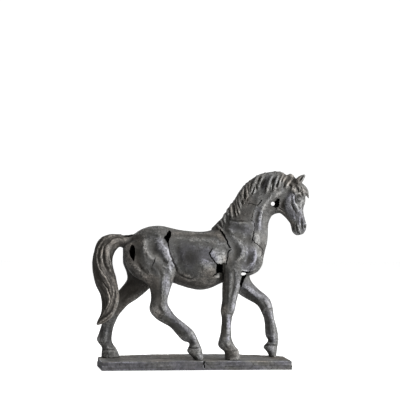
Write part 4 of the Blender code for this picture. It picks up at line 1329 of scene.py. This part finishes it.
    def weather(self, horse: bpy.types.Object, whole: Clay, skin: BVHTree) -> None:
        """Marks the ridges that handling polishes, the hollows where grime settles, and what is inside the
        casting, which the finish paints near black as shade.

        Args:
            horse: The form once it is broken open, on the sheet.
            whole: The skin before that.
            skin: The same skin, for finding places on it.
        """
        clay = Clay(horse.data)
        faces = np.array([tuple(face.vertices) for face in whole.mesh.polygons])
        nearest = [skin.find_nearest(Vector(place)) for place in clay.places]
        under = faces[[found[2] for found in nearest]]
        deep = np.array([found[3] for found in nearest])
        inside = np.clip((deep - self.skin_depth) / self.dark_depth, 0.0, 1.0)
        stand = sum(share * whole.standing(rounds) for rounds, share in self.standing_scales)
        stand = stand[under].mean(axis=1)
        clay.mark("ridge", stand * (1.0 - inside))
        clay.mark("hollow", -stand * (1.0 - inside))
        for name in ("tone", "tint"):
            clay.mark(name, whole.kept(name)[under].mean(axis=1))
        # What lies inside the casting's skin, with a rim round it, is painted near black: painted shade in the
        # breaks and cracks.
        clay.mark("inside", np.maximum(inside, self.dark_rim * clay.spread(inside, 1)))

    def build(self, slab: "Plinth") -> bpy.types.Object:
        """Makes the whole horse.

        Args:
            slab: The plinth that it stands on.

        Returns:
            The finished piece, before its finish.
        """
        horse = self.body()
        self.hair(horse)
        self.carve(horse)
        fewer = horse.modifiers.new("facets", "DECIMATE")
        fewer.ratio = self.triangles / (2 * len(horse.data.polygons))
        horse.modifiers.new("threes", "TRIANGULATE")
        take_shape(horse)
        kept = horse.data.copy()
        whole = Clay(kept)
        faces = [tuple(face.vertices) for face in kept.polygons]
        self.skin = BVHTree.FromPolygons([Vector(place) for place in whole.places], faces)
        self.hollow(horse)
        self.break_open(horse)
        self.weather(horse, whole, self.skin)
        bpy.data.meshes.remove(kept)
        clay = Clay(horse.data)
        clay.places = SHEET.real(clay.places)
        clay.put_back()
        self.seat(horse, slab)
        horse.data.shade_smooth()
        horse.data.set_sharp_from_angle(angle=math.radians(self.sharp_angle))
        return horse


@dataclass(frozen=True)
class Hewing:
    """How the slab's faces are tooled and its rim and corners worn, in shares of a millimetre.

    The tooling gives the share of each noise and how fine it is along, across and up.
    """

    tooling: tuple[tuple[float, Row], ...] = (
        (0.34, (14, 90, 330)), (0.25, (60, 60, 90)), (0.3, (260, 260, 260)),
    )
    level: float = 0.42
    share_of_metre: float = 0.001
    rim: float = 0.005
    rim_bite: float = 1.1
    bite_scale: float = 38.0
    bite_shift: Row = (7.0, 0.0, 0.0)
    corner: float = 0.012
    corner_start: float = 0.6
    corner_bite: float = 1.6
    corner_from: float = 0.010
    underside: float = -0.5


@dataclass(frozen=True)
class SlabTones:
    """The tone and tint of the slab's top and sides, with streaks along them and patches.
    Faces that look up are painted paler than the sides, as painted light from above.
    """

    streak_scales: Row = (24, 260, 420)
    patch_scales: Row = (21, 21, 60)
    patch_shift: Row = (3, 0, 0)
    side_tone: float = 0.42
    # How much paler the top is painted than the sides, as light from above.
    top_tone: float = 0.14
    streak_tone: float = 0.26
    side_tint: float = 0.98
    top_tint: float = 0.62
    patch_tint: float = 0.6
    end_tint: float = 0.4
    half_length: float = 0.18

    def mark(self, clay: Clay) -> None:
        """Marks both on the slab."""
        up = np.clip(clay.normals[:, 2], 0.0, 1.0)
        streaks = noise_at(clay.places * self.streak_scales)
        patches = noise_at(clay.places * self.patch_scales + self.patch_shift)
        tail_end = np.clip(-clay.places[:, 0] / self.half_length, -1.0, 1.0)
        clay.mark("tone", self.side_tone + self.top_tone * up + self.streak_tone * streaks)
        clay.mark("tint", self.side_tint - self.top_tint * up + self.patch_tint * patches
                  + self.end_tint * tail_end * (1.0 - up))


@dataclass
class Plinth:
    """The slab under the hooves: slightly crowned, hewn along its length, with worn edges and a chip."""

    low: Vector
    high: Vector
    thickness: float = PLINTH_THICKNESS
    crown: float = 0.0012
    lean: float = 0.014
    back_rise: float = 0.0054
    flat_share: float = 0.35
    bowed_share: float = 0.65
    spare: float = 0.0023
    edge: float = 0.0015
    grain: float = 0.0012
    skin_depth: float = 0.0003
    dark_depth: float = 0.001
    bevel_angle: float = 40.0
    sharp_angle: float = 50.0
    hewing: Hewing = Hewing()
    tones: SlabTones = SlabTones()

    @property
    def length(self) -> float:
        """How long the slab is, as the frame has it."""
        return self.high.x - self.low.x

    @property
    def depth(self) -> float:
        """How deep the slab is, as the frame has it."""
        return self.high.y - self.low.y

    def top(self, x: float, y: float) -> float:
        """The height of the slab's crowned top at a place."""
        along = min(1.0, abs(2 * (x + self.lean) / self.length))
        back = 0.5 + max(-0.5, min(0.5, y / self.depth))
        bow = 1 - along ** 2
        rise = self.back_rise * back ** 2 * (self.flat_share + self.bowed_share * bow)
        return self.thickness + self.crown * bow + rise

    def block(self, name: str, lift: float, margin: float, drop: float) -> bpy.types.Mesh:
        """A block under the crowned top.

        Args:
            name: The mesh's name.
            lift: How far its top is above the slab's.
            margin: How far it is wider than the slab, all round.
            drop: How far below the ground it reaches.

        Returns:
            The closed mesh.
        """
        bm = bmesh.new()
        bmesh.ops.create_grid(bm, x_segments=14, y_segments=8, size=1.0)
        for vert in bm.verts:
            x = vert.co.x * (self.length / 2 + margin)
            y = vert.co.y * (self.depth / 2 + margin)
            vert.co = (x, y, self.top(x, y) + lift)
        for item in bmesh.ops.extrude_face_region(bm, geom=bm.faces[:])["geom"]:
            if isinstance(item, bmesh.types.BMVert):
                item.co.z = -drop
        bmesh.ops.triangulate(bm, faces=bm.faces)
        return closed_mesh(bm, name)

    def hew(self, slab: bpy.types.Object) -> None:
        """Works the tool's long pulls, the pitting and the wear of the edges into the slab."""
        clay = Clay(slab.data)
        places = clay.places
        hewing = self.hewing
        half = np.array((self.length / 2, self.depth / 2)) + self.spare
        depth = sum(share * noise_at(places * scales) for share, scales in hewing.tooling) - hewing.level
        beyond = np.abs(places[:, :2]) - (half - hewing.rim)
        rim = np.maximum(0.0, beyond.max(axis=1) / hewing.rim)
        bite = np.maximum(0.0, noise_at(places * hewing.bite_scale + hewing.bite_shift))
        corner = (beyond / hewing.corner + hewing.corner_start).clip(0.0).prod(axis=1)
        corner = np.where(places[:, 2] > hewing.corner_from, np.minimum(corner, 1.0), 0.0)
        depth -= hewing.rim_bite * rim * bite + hewing.corner_bite * corner
        shaved = np.where(clay.normals[:, 2] > hewing.underside, np.minimum(depth, 0.0), 0.0)
        clay.places += clay.normals * (shaved * hewing.share_of_metre)[:, None]
        clay.places[:, 2] = np.maximum(clay.places[:, 2], 0.0)
        clay.put_back()

    def chips(self) -> list[bpy.types.Object]:
        """The cutters for the split in the front face and the short crack in the back edge."""
        front = self.low.y
        back = self.high.y
        split = [
            [(x + shift, front + y, z) for x, z in PLINTH_SPLIT]
            for shift, y in ((0.0, -0.006), (0.0004, 0.0045))
        ]
        crack = [[(x, back + y, z) for x, y in PLINTH_CRACK] for z in (0.0165, 0.030)]
        cutters = []
        for name, rings in (("split", split), ("crack", crack)):
            bm = bmesh.new()
            add_rings(bm, rings)
            bmesh.ops.triangulate(bm, faces=bm.faces)
            cutters.append(put(name, closed_mesh(bm, name)))
        return cutters

    def build(self) -> bpy.types.Object:
        """Makes the slab.

        Returns:
            The finished piece, before its finish.
        """
        slab = put("plinth_slab", self.block("plinth_slab", 0.0, self.spare, 0.0))
        bevel = slab.modifiers.new("worn edges", "BEVEL")
        bevel.width = self.edge
        bevel.segments = 3
        bevel.limit_method = "ANGLE"
        bevel.angle_limit = math.radians(self.bevel_angle)
        take_shape(slab)
        reskin(slab, self.grain, 1)
        self.hew(slab)
        skin = BVHTree.FromObject(slab, bpy.context.evaluated_depsgraph_get())
        for cutter in self.chips():
            cut_away(slab, cutter)
        clay = Clay(slab.data)
        stand = clay.standing(5) * 0.6
        deep = np.array([skin.find_nearest(Vector(place))[3] for place in clay.places])
        clay.mark("ridge", stand)
        clay.mark("hollow", -stand)
        # The split and the crack are marked to be painted near black inside, as painted shade.
        clay.mark("inside", np.clip((deep - self.skin_depth) / self.dark_depth, 0.0, 1.0))
        self.tones.mark(clay)
        slab.data.shade_smooth()
        slab.data.set_sharp_from_angle(angle=math.radians(self.sharp_angle))
        return slab


class Graph:
    """A node tree with short ways to add and join its nodes."""

    def __init__(self, tree: bpy.types.NodeTree) -> None:
        """Keeps the tree."""
        self.tree = tree

    def add(self, kind: str, values: dict[str | int, object] | None = None,
            **settings: object) -> bpy.types.Node:
        """A new node.

        Args:
            kind: The node's type, without its ShaderNode.
            values: What to join or set on its inputs.
            settings: What to set on the node itself.

        Returns:
            The node.
        """
        node = self.tree.nodes.new("ShaderNode" + kind)
        for name, setting in settings.items():
            setattr(node, name, setting)
        for name, value in (values or {}).items():
            if isinstance(value, bpy.types.NodeSocket):
                self.tree.links.new(value, node.inputs[name])
            else:
                node.inputs[name].default_value = value
        return node

    def maths(self, operation: str, a: object, b: object = 0.0, clamp: bool = False) -> bpy.types.NodeSocket:
        """The result of a calculation on two values."""
        return self.add("Math", {0: a, 1: b}, operation=operation, use_clamp=clamp).outputs[0]

    def total(self, *terms: tuple[object, object], clamp: bool = False) -> bpy.types.NodeSocket:
        """The sum of some values, each times its weight."""
        parts = [value if weight == 1.0 else self.maths("MULTIPLY", value, weight) for value, weight in terms]
        result = parts[0]
        for k, part in enumerate(parts[1:], 2):
            result = self.maths("ADD", result, part, clamp and k == len(parts))
        return result

    def clouds(self, place: bpy.types.NodeSocket, scale: object, detail: float,
               roughness: float = 0.5) -> bpy.types.NodeSocket:
        """Cloudy noise at a place."""
        values = {"Vector": place, "Scale": scale, "Detail": detail, "Roughness": roughness}
        return self.add("TexNoise", values).outputs[0]

    def mix(self, share: object, a: object, b: object, blend: str = "MIX") -> bpy.types.NodeSocket:
        """A mix of two colours."""
        node = self.add("Mix", data_type="RGBA", blend_type=blend)
        for index, value in ((0, share), (6, a), (7, b)):
            if isinstance(value, bpy.types.NodeSocket):
                self.tree.links.new(value, node.inputs[index])
            else:
                node.inputs[index].default_value = value
        return node.outputs[2]

    def ramp(self, value: bpy.types.NodeSocket, low: float, high: float) -> bpy.types.NodeSocket:
        """A value stretched so that low becomes 0 and high 1."""
        node = self.add("MapRange", {"Value": value, "From Min": low, "From Max": high})
        return node.outputs[0]


def shared_group(name: str, inputs: dict[str, tuple[str, object]],
                 outputs: dict[str, str]) -> tuple[Graph, dict]:
    """Starts a node group that several finishes share.

    Args:
        name: The group's name.
        inputs: Each input's socket type and starting value.
        outputs: Each output's socket type.

    Returns:
        The group's graph, and its input sockets by name with the output node under "out".
    """
    tree = bpy.data.node_groups.new(name, "ShaderNodeTree")
    for label, (kind, value) in inputs.items():
        socket = tree.interface.new_socket(label, in_out="INPUT", socket_type=kind)
        if value is not None:
            socket.default_value = value
    for label, kind in outputs.items():
        tree.interface.new_socket(label, in_out="OUTPUT", socket_type=kind)
    graph = Graph(tree)
    source = tree.nodes.new("NodeGroupInput")
    sockets = {label: source.outputs[label] for label in inputs}
    sockets["out"] = tree.nodes.new("NodeGroupOutput")
    return graph, sockets


# What each vertex keeps for the finishes: the group of wear, grime and painted light reads all but the last,
# which marks what is painted near black as shade inside the breaks and cracks.
MARKS = ("ridge", "hollow", "tone", "tint", "inside")
WHITE = (1.0, 1.0, 1.0, 1.0)
FLOAT = "NodeSocketFloat"
COLOUR = "NodeSocketColor"
VECTOR = "NodeSocketVector"


def grit_group() -> bpy.types.NodeTree:
    """Fine pitting and brushed grain, as a height, with the speckle and the pits that go with it."""
    graph, at = shared_group(
        "casting grit",
        {"Place": (VECTOR, None), "Grain": (FLOAT, 900.0), "Brushing": (FLOAT, 0.5)},
        {"Height": FLOAT, "Speckle": FLOAT, "Pits": FLOAT},
    )
    place = at["Place"]
    fine = graph.clouds(place, at["Grain"], 4.0, 0.65)
    coarse = graph.clouds(place, 300.0, 4.0, 0.7)
    lumps = graph.clouds(place, 170.0, 4.0, 0.6)
    stretched = graph.add("Mapping", {"Vector": place, "Scale": (0.16, 1.0, 1.0)}).outputs[0]
    brushed = graph.clouds(stretched, 420.0, 5.0)
    cells = graph.add("TexVoronoi", {"Vector": place, "Scale": 190.0}).outputs["Distance"]
    spread = graph.clouds(place, 55.0, 3.0)
    pits = graph.maths("MULTIPLY", graph.ramp(cells, 0.34, 0.16), graph.ramp(spread, 0.46, 0.56))
    height = graph.total((fine, 0.5), (brushed, at["Brushing"]), (coarse, 0.9), (lumps, 0.8), (pits, -0.7))
    speckle = graph.total((fine, 0.4), (coarse, 0.6))
    for label, value in (("Height", height), ("Speckle", graph.ramp(speckle, 0.40, 0.60)), ("Pits", pits)):
        graph.tree.links.new(value, at["out"].inputs[label])
    return graph.tree


def wear_dirt_and_light_group() -> bpy.types.NodeTree:
    """Where handling has polished ridges pale and where grime has settled, with the painted highlights and
    painted shade that the tone carries, broken up by the grain.
    """
    graph, at = shared_group(
        "wear, dirt and painted light",
        {"Ridge": (FLOAT, 0.0), "Hollow": (FLOAT, 0.0), "Tone": (FLOAT, 0.5), "Tint": (FLOAT, 0.5),
         "Speckle": (FLOAT, 0.5), "Place": (VECTOR, None), "Rubbing and highlights": (FLOAT, 0.5), "Soiling and shade": (FLOAT, 0.5)},
        {"Rubbed and highlit": FLOAT, "Soiled and shaded": FLOAT, "Mottle": FLOAT, "Cool": FLOAT, "Warm": FLOAT},
    )
    place = at["Place"]
    # Tone above the middle is polish and painted highlight, below it grime and painted shade.
    pale = graph.ramp(at["Tone"], 0.5, 1.0)
    dull = graph.ramp(at["Tone"], 0.5, 0.0)
    patch = graph.ramp(graph.clouds(place, 60.0, 5.0, 0.65), 0.36, 0.64)
    raised_and_highlit = graph.total((at["Ridge"], 0.55), (pale, 1.05))
    raised_and_highlit = graph.maths("MULTIPLY", raised_and_highlit, graph.total((patch, 0.42), (0.6, 1.0)))
    raised_and_highlit = graph.total((raised_and_highlit, 1.0), (dull, -0.5))
    grain = graph.maths("SUBTRACT", at["Speckle"], 0.5)
    # The pale mask: ridges polished by handling and the painted highlights of the tone.
    rub_and_highlight = graph.total((raised_and_highlit, 1.0), (grain, graph.maths("ADD", raised_and_highlit, 0.30)))
    rub_and_highlight = graph.maths("MULTIPLY", graph.ramp(rub_and_highlight, 0.10, 1.0), at["Rubbing and highlights"], clamp=True)
    stain = graph.ramp(graph.clouds(place, 42.0, 6.0, 0.7), 0.48, 0.74)
    # The dark mask: patina in the hollows, grime and stains, and the painted shade that the tone brings.
    dirt_and_shade = graph.total((at["Hollow"], 0.6), (dull, 0.9), (stain, 0.45), (grain, -0.3))
    dirt_and_shade = graph.maths("MULTIPLY", dirt_and_shade, at["Soiling and shade"], clamp=True)
    mottle = graph.ramp(graph.clouds(place, 90.0, 8.0, 0.74), 0.36, 0.64)
    wash = graph.maths("SUBTRACT", graph.clouds(place, 34.0, 5.0, 0.65), 0.5)
    shade = graph.total((at["Tint"], 1.0), (wash, 1.3))
    cool = graph.ramp(shade, 0.52, 1.0)
    warm = graph.ramp(shade, 0.52, 0.05)
    for label, value in (("Rubbed and highlit", rub_and_highlight), ("Soiled and shaded", dirt_and_shade), ("Mottle", mottle), ("Cool", cool), ("Warm", warm)):
        graph.tree.links.new(value, at["out"].inputs[label])
    return graph.tree


@dataclass(frozen=True)
class Patina:
    """A lead-grey casting patina: its colours from the hollows up to the pale ridges, with painted highlights,
    painted shade, and near black painted as shade inside the breaks and cracks.
    """

    name: str
    deep: Row = (0.026, 0.0255, 0.0245)
    body: Row = (0.079, 0.078, 0.074)
    # Pale for ridges polished by handling and for painted highlights; dark for grime, patina in hollows and
    # painted shade.
    rubbed_and_highlight: Row = (0.345, 0.345, 0.337)
    dirt_and_shade: Row = (0.016, 0.0145, 0.011)
    cool: Row = (0.965, 0.96, 1.16)
    warm: Row = (1.11, 1.0, 0.91)
    # Near black painted inside the breaks and cracks, as shade.
    inside: Row = (0.004, 0.0035, 0.003)
    rubbing_and_highlights: float = 0.9
    soiling_and_shade: float = 1.0
    brushing: float = 0.6
    grain: float = 900.0
    bump: float = 0.5
    bump_depth: float = 0.0005
    metallic: float = 0.1
    roughness: float = 0.54
    soiled_and_shaded_roughness: float = 0.25
    speckled_roughness: float = 0.14
    inside_roughness: float = 0.4
    pit_darkness: float = 0.8

    def material(self, grit: bpy.types.NodeTree, wear: bpy.types.NodeTree) -> bpy.types.Material:
        """Builds the finish.

        Args:
            grit: The shared grain group.
            wear: The shared group of wear, grime, painted highlights and painted shade.

        Returns:
            The material.
        """
        material = bpy.data.materials.new(self.name)
        material.use_nodes = True
        graph = Graph(material.node_tree)
        shader = material.node_tree.nodes["Principled BSDF"]
        links = material.node_tree.links
        place = graph.add("TexCoord").outputs["Object"]
        casting = {"Place": place, "Grain": self.grain, "Brushing": self.brushing}
        grain = graph.add("Group", casting, node_tree=grit).outputs
        marks = {name: graph.add("Attribute", attribute_name=name).outputs["Fac"] for name in MARKS}
        ageing_and_light = {name.capitalize(): marks[name] for name in MARKS[:-1]}
        ageing_and_light |= {"Place": place, "Speckle": grain["Speckle"]}
        ageing_and_light |= {"Rubbing and highlights": self.rubbing_and_highlights, "Soiling and shade": self.soiling_and_shade}
        worn_and_lit = graph.add("Group", ageing_and_light, node_tree=wear).outputs
        colour = graph.mix(worn_and_lit["Mottle"], (*self.deep, 1.0), (*self.body, 1.0))
        pits = graph.maths("MULTIPLY", grain["Pits"], self.pit_darkness)
        # Grime and painted shade, polish and painted highlight, tints, pits, and the near black painted as
        # shade inside.
        for share, over, blend in (
            (worn_and_lit["Soiled and shaded"], self.dirt_and_shade, "MIX"), (worn_and_lit["Rubbed and highlit"], self.rubbed_and_highlight, "MIX"),
            (worn_and_lit["Cool"], self.cool, "MULTIPLY"), (worn_and_lit["Warm"], self.warm, "MULTIPLY"),
            (pits, self.dirt_and_shade, "MIX"), (marks["inside"], self.inside, "MIX"),
        ):
            colour = graph.mix(share, colour, (*over, 1.0), blend)
        links.new(colour, shader.inputs["Base Color"])
        rough = graph.total((self.roughness, 1.0), (worn_and_lit["Soiled and shaded"], self.soiled_and_shaded_roughness),
                            (grain["Speckle"], self.speckled_roughness),
                            (marks["inside"], self.inside_roughness), clamp=True)
        links.new(rough, shader.inputs["Roughness"])
        shader.inputs["Metallic"].default_value = self.metallic
        relief = {"Strength": self.bump, "Distance": self.bump_depth, "Height": grain["Height"]}
        links.new(graph.add("Bump", relief).outputs[0], shader.inputs["Normal"])
        return material


@dataclass(frozen=True)
class SoftLight:
    """A soft square light that shines at the statue's middle."""

    name: str
    place: Row
    size: float
    power: float


LIGHTS = [
    SoftLight("key", (2.6, -1.15, 1.1), 0.9, 135.0),
    SoftLight("front fill", (0.7, -2.9, 1.4), 1.4, 44.0),
    SoftLight("top", (0.5, 0.2, 2.7), 1.2, 22.0),
    SoftLight("back fill", (-1.0, 2.8, 1.5), 1.6, 34.0),
]


@dataclass(frozen=True)
class Studio:
    """The pale floor, the soft lights and the camera at the photograph's viewing angle."""

    aim: Row = (0.00869, 0.0, 0.32103)
    distance: float = 3.3
    turn: float = -8.647
    rise: float = -0.066
    roll: float = 0.467
    field_of_view: float = 2 * math.degrees(math.atan(200.0 / 1726.6))
    middle: Row = (0.0, 0.0, 0.2)
    floor_size: float = 6.0
    floor_colour: Row = (0.6, 0.6, 0.6, 1.0)
    floor_glow: float = 0.9
    surround_light: float = 0.12
    surround_seen: float = 1.1

    def backward(self) -> Vector:
        """The direction from the statue to the camera."""
        a = math.radians(self.turn)
        e = math.radians(self.rise)
        return Vector((math.sin(a) * math.cos(e), -math.cos(a) * math.cos(e), math.sin(e)))

    def camera(self) -> None:
        """Sets the camera up."""
        lens = bpy.data.cameras.new("view")
        lens.angle = math.radians(self.field_of_view)
        lens.clip_end = 50.0
        camera = bpy.data.objects.new("view", lens)
        bpy.context.scene.collection.objects.link(camera)
        back = self.backward()
        camera.location = Vector(self.aim) + back * self.distance
        camera.rotation_mode = "QUATERNION"
        level = (-back).to_track_quat("-Z", "Y")
        camera.rotation_quaternion = level @ Quaternion((0.0, 0.0, 1.0), math.radians(self.roll))
        bpy.context.scene.camera = camera

    def light(self, soft: SoftLight) -> None:
        """Adds a soft light."""
        lamp = bpy.data.lights.new(soft.name, "AREA")
        lamp.shape = "SQUARE"
        lamp.size = soft.size
        lamp.energy = soft.power
        obj = bpy.data.objects.new(soft.name, lamp)
        bpy.context.scene.collection.objects.link(obj)
        obj.location = soft.place
        obj.rotation_euler = (Vector(self.middle) - Vector(soft.place)).to_track_quat("-Z", "Y").to_euler()

    def floor(self) -> None:
        """Lays the pale floor."""
        bm = bmesh.new()
        bmesh.ops.create_grid(bm, x_segments=2, y_segments=2, size=self.floor_size)
        mesh = bpy.data.meshes.new("floor")
        bm.to_mesh(mesh)
        bm.free()
        floor = put("floor", mesh)
        material = bpy.data.materials.new("pale floor")
        material.use_nodes = True
        graph = Graph(material.node_tree)
        shader = material.node_tree.nodes["Principled BSDF"]
        shader.inputs["Base Color"].default_value = self.floor_colour
        shader.inputs["Roughness"].default_value = 0.9
        shader.inputs["Specular IOR Level"].default_value = 0.1
        shader.inputs["Emission Color"].default_value = WHITE
        seen = graph.add("LightPath").outputs["Is Camera Ray"]
        glow = graph.maths("MULTIPLY", seen, self.floor_glow)
        material.node_tree.links.new(glow, shader.inputs["Emission Strength"])
        mesh.materials.append(material)

    def surround(self) -> None:
        """A white surround that lights the statue more gently than it looks."""
        world = bpy.data.worlds.new("surround")
        bpy.context.scene.world = world
        world.use_nodes = True
        graph = Graph(world.node_tree)
        world.node_tree.nodes.clear()
        soft = graph.add("Background", {"Color": WHITE, "Strength": self.surround_light})
        white = graph.add("Background", {"Color": WHITE, "Strength": self.surround_seen})
        seen = graph.add("LightPath").outputs["Is Camera Ray"]
        both = graph.add("MixShader", {0: seen, 1: soft.outputs[0], 2: white.outputs[0]})
        out = graph.add("OutputWorld")
        world.node_tree.links.new(both.outputs[0], out.inputs[0])

    def build(self) -> None:
        """Sets the whole studio up."""
        self.camera()
        self.floor()
        self.surround()
        for soft in LIGHTS:
            self.light(soft)
        bpy.context.scene.view_settings.view_transform = "Standard"


def show(piece: bpy.types.Object, node: str, material: bpy.types.Material) -> None:
    """Dresses a piece, hides the CAD node that it stands for and reports it."""
    piece.data.materials.clear()
    piece.data.materials.append(material)
    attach(piece, "root")
    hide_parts(node)
    piece.data.calc_loop_triangles()
    LOG.info("%s: %d triangles, stands for %s", piece.name, len(piece.data.loop_triangles), node)


def main() -> None:
    """Builds the statue's pieces in order and lights them."""
    logging.basicConfig(level=logging.INFO, format="%(name)s: %(message)s")
    grit = grit_group()
    # The shared group paints wear and grime together with painted highlights and painted shade.
    wear = wear_dirt_and_light_group()
    low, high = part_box("plinth")
    plinth = Plinth(low, high)
    pale = Patina("lead_grey_plinth", deep=(0.05, 0.049, 0.047), body=(0.13, 0.127, 0.12))
    show(plinth.build(), "plinth", pale.material(grit, wear))
    show(Horse().build(plinth), "horse", Patina("lead_grey_patina").material(grit, wear))
    Studio().build()


if __name__ == "__main__":
    main()
